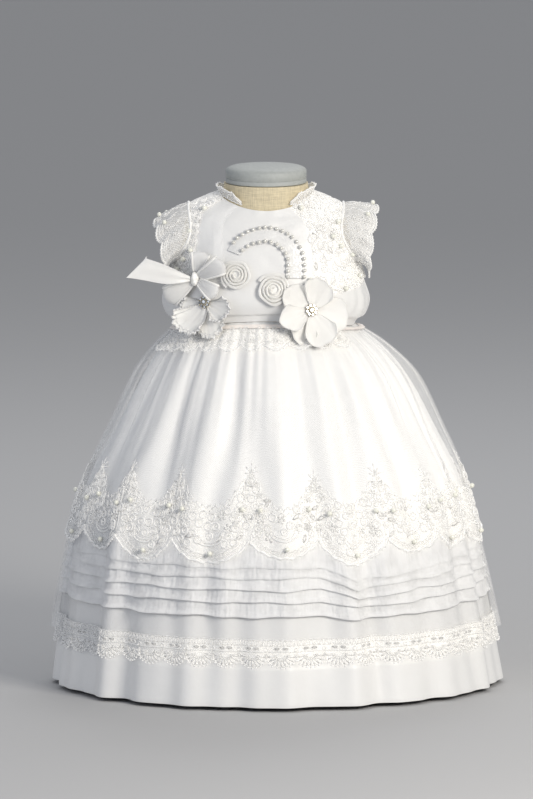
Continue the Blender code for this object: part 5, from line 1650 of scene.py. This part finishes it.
def make_waist():
    """Two fine lines of cream ribbon round the waist, and the lace peplum that falls from under it."""
    azimuths = arange(300)[None, :] * 1.2
    profile = column_of(0, 1, 7)
    heights = RIBBON["height"][0] + (RIBBON["height"][1] - RIBBON["height"][0]) * profile
    lifts = interp(heights, RIBBON["height"], RIBBON["lift"])
    roll = 0.25 * np.abs(sin(profile * pi * 2)) + 0.2 * ripple(azimuths, 0.0, 9, 30, 80)
    pile = wall(skirt_point, azimuths, heights, lifts, lifts + 0.7 + roll, wrapped=True)
    band = finish_piece(pile, "cream_waist_ribbon", "cream_ribbon", "ribbon", "waist_ribbon")
    first, last = PEPLUM["azimuth"][0], PEPLUM["azimuth"][-1]
    azimuths = row_of(first, last, 330)
    wave = np.abs(sin(pi * (azimuths - first) / PEPLUM_PITCH))
    foot = interp(azimuths, PEPLUM["azimuth"], PEPLUM["height"]) - PEPLUM_SCALLOP * wave
    heights = foot + (PEPLUM_TOP - foot) * column_of(0, 1, 9)

    def peplum_point(a, b, lift):
        """A point over the tulle, moved in and out by a soft wave round the waist."""
        return overlay_point(a, b, PEPLUM_GAP + 0.4 * sin(a * 0.8) + lift)

    ground = wall(peplum_point, azimuths, heights, 0.0, NET_GROUND)
    net = finish_piece(ground, "net_peplum", "lace_ground", "lace", "lace_peplum", airy=True)
    work = Embroidery(raised(peplum_point, NET_GROUND))
    work.line(azimuths, foot, radius=0.9, sides=5)
    work.line(azimuths, foot + 3, radius=0.5)
    work.line(azimuths, PEPLUM_TOP - 1, radius=0.5)
    work.knots(azimuths[:, ::4], foot[:, ::4] - 0.9, 0.8)
    centres = arange(first + PEPLUM_PITCH / 2, last, PEPLUM_PITCH)
    base = interp(centres, PEPLUM["azimuth"], PEPLUM["height"])
    work.florets(centres, base + 3.0, 3.6, 6)
    rows, columns = lattice(4, 29)
    a = (first + 2 + (columns + 0.5 * (rows % 2)) * 4.2).ravel()
    keep = a < last - 1
    work.scatter(a[keep], (interp(a, PEPLUM["azimuth"], PEPLUM["height"]) + 1.5 + rows.ravel() * 4)[keep], 2.4, 41)
    cords = work.finish("cords_peplum", "lace_peplum")


def arch_place(turn, share):
    """x and height on the chest band: a straight leg for turns below 0, then an arch that widens."""
    arch_turn = clip(turn, 0, None)
    inside = interp(arch_turn, ARCH["turn"], ARCH["inner"])
    outside = interp(arch_turn, ARCH["turn"], ARCH["outer"])
    radius = inside + (outside - inside) * share
    leg = clip(-turn, 0, None)
    x = ARCH_CENTRE_X + radius * cos(radians(arch_turn))
    return x, ARCH_CENTRE_HEIGHT + radius * sin(radians(arch_turn)) - leg


def make_pearl_band():
    """Curved ribbon band wrapped with glitter, and its two rows of pearls."""
    last = ARCH["turn"][-1]
    turns = concatenate([linspace(-ARCH_LEG, 0, 12)[:-1], linspace(0, last, 90)])
    share = linspace(0, 1, 9)
    xs, heights = arch_place(turns[:, None], share[None, :])
    level, azimuth = front_places(xs, heights)
    # The search is coarse, so the places are smoothed along the band.
    for _ in range(4):
        for values in (level, azimuth):
            values[1:-1] = (values[:-2] + 2 * values[1:-1] + values[2:]) / 4
    dome = 0.5 * sin(pi * share)[None, :] + 0.18 * sin(turns * 1.9)[:, None]
    pile = wall(bodice_point, level.T, azimuth.T, ARCH_LIFT, ARCH_LIFT + 0.8 + dome.T)
    band = finish_piece(pile, "glitter_band", "glitter", "ribbon", "pearl_band")
    centres = []
    for share, low, high in ((0.93, -ARCH_LEG + 1, 148), (0.1, -ARCH_LEG + 1, 150)):
        fine = linspace(low, high, 700)
        xs, heights = arch_place(fine, share)
        run = concatenate([[0], np.cumsum(np.hypot(np.diff(xs), np.diff(heights)))])
        count = int(run[-1] / ARCH_PEARL_PITCH)
        at = interp(linspace(0, run[-1], count + 1), run, fine)
        level, azimuth = front_places(*arch_place(at, share))
        centres.append(bodice_point(level, azimuth, ARCH_LIFT + 3.0))
    beads = sew_pearls("band_pearls", concatenate(centres), 0.78, "silver_pearl")


def make_rosettes():
    """Rolled ribbon roses: one ribbon wound outwards, its upper edge leaning over the turn outside it."""
    for name, (x, height, radius, lift) in ROSETTES.items():
        foot, normal = front_point(x, height, lift)
        right, up, normal = face_frame(normal)
        turn = linspace(0.4, 2 * pi * ROSETTE_TURNS, 300)
        part = turn / turn[-1]
        start = 0.7 if name == "rosette_right" else 2.2
        spin = turn + start
        corner = 1 + 0.05 * cos(5 * spin * 0.96) * part
        reach = radius * (0.05 + 0.74 * part**0.9) * corner
        share = column_of(0, 1, 8)
        crease = 0.3 * sin(turn * 2.7 + start) + 0.2 * sin(turn * 6.1)
        lean = (0.9 + 3.0 * part**1.2 + crease * part) * share**1.3
        crown = ROSETTE_CROWN * (1.06 - 0.62 * part**1.4)
        tall = crown * (0.1 + 0.9 * sin(radians(118) * share)) + 0.3 * crease * share
        out = reach + lean

        def ribbon(extra):
            """The wound ribbon, moved out by extra."""
            line = out + extra
            flat = right * (line * cos(spin))[..., None] + up * (line * sin(spin))[..., None]
            return foot + flat + normal * (tall + 0.2)[..., None]

        pile = Pile()
        pile.shell(ribbon(0.0), ribbon(0.75))
        circle = circle_of(right, up, round_turn(40))
        profile = ((0.78, 0.0), (0.86, 0.5), (0.84, 1.5), (0.68, 2.6), (0.48, 3.9), (0.28, 4.9), (0.1, 5.4))
        pile.stack([foot + circle * radius * r + normal * h for r, h in profile])
        piece = finish_piece(pile, f"rolled_{name}", "satin_ribbon", "satin", name)


def petal_sheet(centre, frame_of_face, petal, number, frill):
    """A petal: a spoon with a midrib dent and a waved edge, scalloped by the share frill."""
    right, up, normal = frame_of_face
    turn = math.radians(petal["direction"])
    along = right * math.cos(turn) + up * math.sin(turn)
    aside = np.cross(normal, along)
    share = linspace(0, 1, 30)[:, None, None]
    across = linspace(-1, 1, 41 if frill else 25)[None, :, None]
    upper = petal["layer"]
    # The rim is an oval cap, and the petal fans out to it from a narrow root.
    rim = across * pi / 2
    ripple_out = 1 + 0.06 * sin(across * 6 + number * 2.1) + 0.03 * sin(across * 15 + number)
    lace = 1 + frill * (np.abs(sin(across * 14 + number)) - 0.5) * share**6
    cap = petal["length"] * (PETAL_CAP + (1 - PETAL_CAP) * cos(rim) * ripple_out * lace)
    reach = PETAL_ROOT + share * (cap - PETAL_ROOT)
    width = petal["half_width"] * PETAL_EASE * sin(rim) * (0.22 + 0.78 * share**0.75) * lace
    cup = PETAL_CUPS[int(petal["layer"])] * share * across**2
    # Upper petals wave outwards from the lower ones and never through them.
    wave = share**3 * (1.2 * sin(across * 5 + number * 2.7) + 0.6 * sin(across * 12 + number) + 2.6 * upper - 0.8)
    wave = wave + frill * 1.3 * cos(across * 21 + number) * share * (1.15 - share)
    curl = (0.4 + upper * (1.0 + 0.8 * math.sin(number * 1.9))) * share**6 * (0.4 + across**2)
    rib = -0.7 * exp(-((across / 0.16) ** 2)) * (1 - share) * share**0.5 * 2
    gather = 0.22 * cos(across * 12 + number) * (1 - share) ** 2
    rise = petal["layer"] * PETAL_LAYER + petal["rise"] * share**2 + cup + wave + curl + rib + gather
    bend = 0.1 * petal["length"] * math.sin(number * 2.3 + 0.6) * share**2
    return centre + along * reach + aside * (width + bend) + normal * rise


def make_flowers():
    """Two cloth flowers, petal by petal, each with a cluster of cut stones in pale gold."""
    for name, flower in FLOWERS.items():
        centre, normal = front_point(*flower["place"], flower["lift"])
        face = face_frame(unit(normal * (1, 1, 0)) + (0, 0, flower["tilt"]))
        for number, petal in enumerate(rows_of(flower["petals"])):
            sheet = petal_sheet(centre, face, petal, number, flower["frill"])[:, ::-1]
            pile = Pile()
            pile.shell(sheet, sheet + face[2] * PETAL)
            title = f"{name}_{number + 1}"
            solid = f"{name}_petal_{number + 1}"
            piece = finish_piece(pile, f"satin_{title}", "petal", "satin", solid)
            edge = concatenate([sheet[4:, 0], sheet[-1, 1:-1], sheet[:3:-1, -1]]) + face[2] * PETAL / 2
            cord = Pile()
            cord.cords(edge[None], face[2], 0.85 if flower["frill"] else 0.5, 5)
            if flower["frill"]:
                cord.balls(edge[::3], 0.95, KNOT_BALL)
                inner = concatenate([sheet[8:, 5], sheet[-4, 6:-6], sheet[:7:-1, -6]]) + face[2] * PETAL
                cord.cords(inner[None], face[2], 0.5, 4)
            trim = finish_piece(cord, f"edge_{title}", "cord" if flower["frill"] else "petal", "satin", solid, None)
        make_jewel(name.replace("flower", "jewel"), centre + face[2] * (PETAL_LAYER + 1.1 + JEWEL_GAP), face)


def make_jewel(name, foot, face):
    """A cluster: a round plate, a large stone among eight small ones, and claws between them."""
    right, up, normal = face
    circle = circle_of(right, up, round_turn(24))
    pile = Pile()
    plate = ((0.80, 0), (0.86, 0.3), (0.84, 0.9), (0.5, 1.5), (0.2, 1.7))
    pile.stack([foot + circle * JEWEL_RADIUS * r + normal * h for r, h in plate], kind=1)
    facets = round_turn(8)
    ring, half = circle_of(right, up, facets), circle_of(right, up, facets + pi / 8)

    def stone(middle, size, base):
        """An eight-sided stone: its girdle is turned by half a facet."""
        rings = [ring * size * 0.86, half * size, ring * size * 0.62]
        rise = (0.0, 0.42 * size, 0.82 * size)
        pile.stack([middle + r + normal * (base + h) for r, h in zip(rings, rise)], kind=0)

    stone(foot, 2.7, 1.2)
    for around in circle_of(right, up, facets + 0.2):
        stone(foot + around * 4.7, 1.75, 0.8)
    claws = circle_of(right, up, facets + 0.2 + pi / 8)
    for reach, height, size in ((5.9, 1.2, 0.62), (3.1, 2.4, 0.5)):
        pile.balls(foot + claws * reach + normal * height, size, KNOT_BALL, kind=1)
    finish_piece(pile, f"stone_{name}", "stone setting", "jewel", name, 20.0)


def loop_sheet(root, direction, normal, length, width):
    """A ribbon loop: out from the knot, round and back behind itself, creased where it is pinched."""
    share = linspace(LOOP_OPEN, 1 - LOOP_OPEN, 45)[None, :, None]
    across = linspace(-0.5, 0.5, 11)[:, None, None]
    aside = np.cross(normal, direction)
    rounded = 1 - LOOP_ROUND * (2 * across) ** 2 * sin(pi * share) ** 4
    along = length * (1 - cos(2 * pi * share)) / 2 * rounded
    off = LOOP_HALF_DEPTH * sin(2 * pi * share) * sin(pi * share)
    breadth = width * (LOOP_NECK + (1 - LOOP_NECK) * sin(pi * share) ** LOOP_SWELL)
    pinch = 0.55 * cos(across * 19) * (1 - sin(pi * share))
    bow = 0.8 * cos(across * pi) * sin(pi * share) * np.sign(0.5 - share)
    return root + direction * along + normal * (off + pinch + bow) + aside * breadth * across


def make_bow():
    """Ribbon bow: satin knot and tail, and four sheer loops, each with a satin edge."""
    knot, normal = front_point(KNOT_X, KNOT_HEIGHT, KNOT_LIFT)
    right, up, outward = face_frame(normal * KNOT_TURN)
    turn = round_turn(40)[:, None]
    wide, deep, tall = KNOT_HALF
    rings = []
    for slope in radians(linspace(-82, 82, 25)):
        fold = 1 + 0.05 * math.sin(slope * 9) + 0.05 * cos(4 * turn + slope * 2)
        ring = -right * wide * cos(turn) * fold + outward * deep * sin(turn) * fold
        rings.append(knot + ring * math.cos(slope) ** 0.7 + up * tall * math.sin(slope))
    stacked_piece(rings, "satin_bow_knot", "satin_ribbon", "satin", "bow_knot")
    front = np.array([0.0, -1.0, 0.0])
    for name, (angle, length, width, start, lean) in LOOPS.items():
        turned = math.radians(angle)
        direction = unit(np.array([math.cos(turned), lean * abs(math.cos(turned)), math.sin(turned)]))
        face = unit(front - direction * np.dot(front, direction))
        sheet = loop_sheet(knot + direction * start, direction, face, length, width)
        climb = np.gradient(sheet, axis=0)
        run = np.gradient(sheet, axis=1)
        out = unit(np.cross(run, climb))
        centre = knot + direction * (start + length / 2)
        if ((sheet - centre) * out).sum() < 0:
            sheet, out = sheet[::-1], -out[::-1]
        pile = Pile()
        pile.shell(sheet, sheet + out * RIBBON_THICK)
        cloth = "satin_ribbon" if "lower_left" in name else "loop_organza"
        loop = finish_piece(pile, f"sheer_{name}", cloth, "satin", name)
        edges = Pile()
        for row in (0, -1):
            edges.cords((sheet[row] + out[row] * RIBBON_THICK / 2)[None], out[row][None], 1.3, 6)
        edge = finish_piece(edges, f"edges_{name}", "satin_ribbon", "satin", name, None)
    rows = linspace(0, len(TAIL["reach"]) - 1, 60)
    tail = {column: smooth(values, rows)[None, :] for column, values in TAIL.items()}
    across = column_of(-1, 1, 21)
    cut = TAIL_CUT * across * clip((rows - 3) / 1, 0, 1)[None, :] ** 1.5
    wrinkle = 0.7 * sin(across * 6 + rows * 0.4) * exp(-rows * 0.55) + 0.5 * sin(rows * 2.2 + across * 1.5)
    x = knot[0] - tail["reach"] - cut
    y = knot[1] - tail["forward"] - wrinkle
    z = knot[2] + tail["drop"] + tail["half_width"] * across
    sheet = stack([x, y, z], axis=-1)[:, ::-1]
    pile = Pile()
    pile.shell(sheet, sheet + front * RIBBON_THICK)
    piece = finish_piece(pile, "satin_bow_tail", "satin_ribbon", "satin", "bow_tail")


# ---- stage


def area_light(name, place, aim, size, power, colour):
    """A square soft light that looks at a point."""
    lamp = bpy.data.lights.new(name, "AREA")
    lamp.shape = "SQUARE"
    lamp.size = size
    lamp.energy = power
    lamp.color = colour
    linked(name, lamp, place, np.array(aim) - place)


def make_stage():
    """Pale floor, soft studio lights and the camera."""
    look = bpy.context.scene.gown_look
    mesh = bpy.data.meshes.new("pale_floor")
    mesh.from_pydata(np.array([(-1, -1, 0), (1, -1, 0), (1, 1, 0), (-1, 1, 0)]) * FLOOR_REACH, [], [(0, 1, 2, 3)])
    pale = mottled("pale floor", 0.9, 0.6, 2, shaded(look.floor, 0.97), look.floor, Specular_IOR_Level=0.1)
    mesh.materials.append(pale)
    linked("pale_floor", mesh)
    world = bpy.data.worlds.new("studio")
    world.use_nodes = True
    sky = world.node_tree.nodes["Background"].inputs
    sky["Color"].default_value = (0.94, 0.96, 1.0, 1)
    sky["Strength"].default_value = look.fill_light
    scene = bpy.context.scene
    scene.world = world
    aim = (0, 0, 0.27)
    area_light("warm_key", (1.3, -1.86, 1.2), aim, 0.8, look.key_light, (1.0, 0.95, 0.87))
    area_light("cool_side", (-1.6, -1.7, 0.9), aim, 1.2, look.key_light * 0.14, (0.74, 0.82, 1.0))
    area_light("top_back", (0.2, 1.6, 1.9), aim, 1.0, look.key_light * 0.3, (1.0, 1.0, 1.0))
    camera = bpy.data.cameras.new("camera")
    camera.sensor_width = SENSOR
    camera.lens = SENSOR * CAMERA_DISTANCE / CAMERA_VIEW_HEIGHT
    camera.clip_end = 200.0
    away = np.array([0.0, -math.cos(CAMERA_TILT), math.sin(CAMERA_TILT)])
    scene.camera = linked("camera", camera, CAMERA_AIM + away * CAMERA_DISTANCE, -away)
    scene.view_settings.view_transform = "Standard"


# ---- the add-on

COLOUR = {"subtype": "COLOR", "min": 0, "max": 1}


class GownLook(bpy.types.PropertyGroup):
    """Colours, sheerness, sizes and lights that a user would change."""

    satin: FloatVectorProperty(name="Satin", description="Colour of the satin", default=(0.805, 0.805, 0.8), **COLOUR)
    net: FloatVectorProperty(
        name="Net", description="Colour of tulle and organza", default=(0.97, 0.972, 0.975), **COLOUR
    )
    lace: FloatVectorProperty(name="Lace", description="Colour of lace and cord", default=(0.93, 0.925, 0.91), **COLOUR)
    petal: FloatVectorProperty(
        name="Petals", description="Colour of flowers and bow", default=(0.95, 0.937, 0.9), **COLOUR
    )
    ribbon: FloatVectorProperty(
        name="Ribbon", description="Colour of the cream ribbon", default=(0.94, 0.88, 0.84), **COLOUR
    )
    linen: FloatVectorProperty(
        name="Linen", description="Colour of the dress form's cover", default=(0.68, 0.595, 0.415), **COLOUR
    )
    pearl: FloatVectorProperty(name="Pearl", description="Colour of the pearls", default=(0.86, 0.86, 0.78), **COLOUR)
    floor: FloatVectorProperty(name="Floor", description="Colour of the floor", default=(0.49, 0.49, 0.495), **COLOUR)
    sheer: FloatProperty(
        name="Tulle cover", description="Share of the light that the tulle stops", default=0.12, min=0.02, max=0.4,
        subtype="FACTOR",
    )
    pearl_radius: FloatProperty(
        name="Pearl radius", description="Radius of the pearls on the lace", default=2.5 * MM, min=MM, max=4 * MM,
        unit="LENGTH",
    )
    key_light: FloatProperty(
        name="Key light", description="Power of the warm key light", default=41.0, min=1, max=500, unit="POWER"
    )
    fill_light: FloatProperty(
        name="Fill light", description="Strength of the light from all round", default=0.48, min=0, max=5
    )


def piece_operator(make):
    """An operator class that makes one group of pieces. Errors are raised, so the script stops."""
    identifier = make.__name__.removeprefix("make_")
    label = identifier.replace("_", " ").title()

    def execute(self, context):
        make()
        return {"FINISHED"}

    details = {"bl_idname": f"gown.{identifier}", "bl_label": label, "__doc__": make.__doc__, "execute": execute}
    return type(f"GOWN_OT_{identifier}", (bpy.types.Operator,), details)


PIECES = (
    make_dress_form, make_bodice, make_back_closing, make_lace_yokes, make_organza_drape, make_cap_sleeves,
    make_neck_lace, make_underskirt, make_tucked_tier, make_guipure_trim, make_net_tier, make_tulle_overlay,
    make_waist, make_pearl_band, make_rosettes, make_flowers, make_bow, make_stage,
)
OPERATORS = [piece_operator(make) for make in PIECES]


class GOWN_PT_panel(bpy.types.Panel):
    """Lists the gown's pieces and its colours."""

    bl_label = "Christening Gown"
    bl_idname = "GOWN_PT_panel"
    bl_space_type = "VIEW_3D"
    bl_region_type = "UI"
    bl_category = "Gown"

    def draw(self, context):
        for name in GownLook.__annotations__:
            self.layout.prop(context.scene.gown_look, name)
        for operator in OPERATORS:
            self.layout.operator(operator.bl_idname)


CLASSES = [GownLook, *OPERATORS, GOWN_PT_panel]


def register():
    for made in CLASSES:
        bpy.utils.register_class(made)
    bpy.types.Scene.gown_look = bpy.props.PointerProperty(type=GownLook)


def unregister():
    del bpy.types.Scene.gown_look
    for made in reversed(CLASSES):
        bpy.utils.unregister_class(made)


def main():
    register()
    for operator in OPERATORS:
        getattr(bpy.ops.gown, operator.bl_idname.split(".")[1])()


if __name__ == "__main__":
    main()
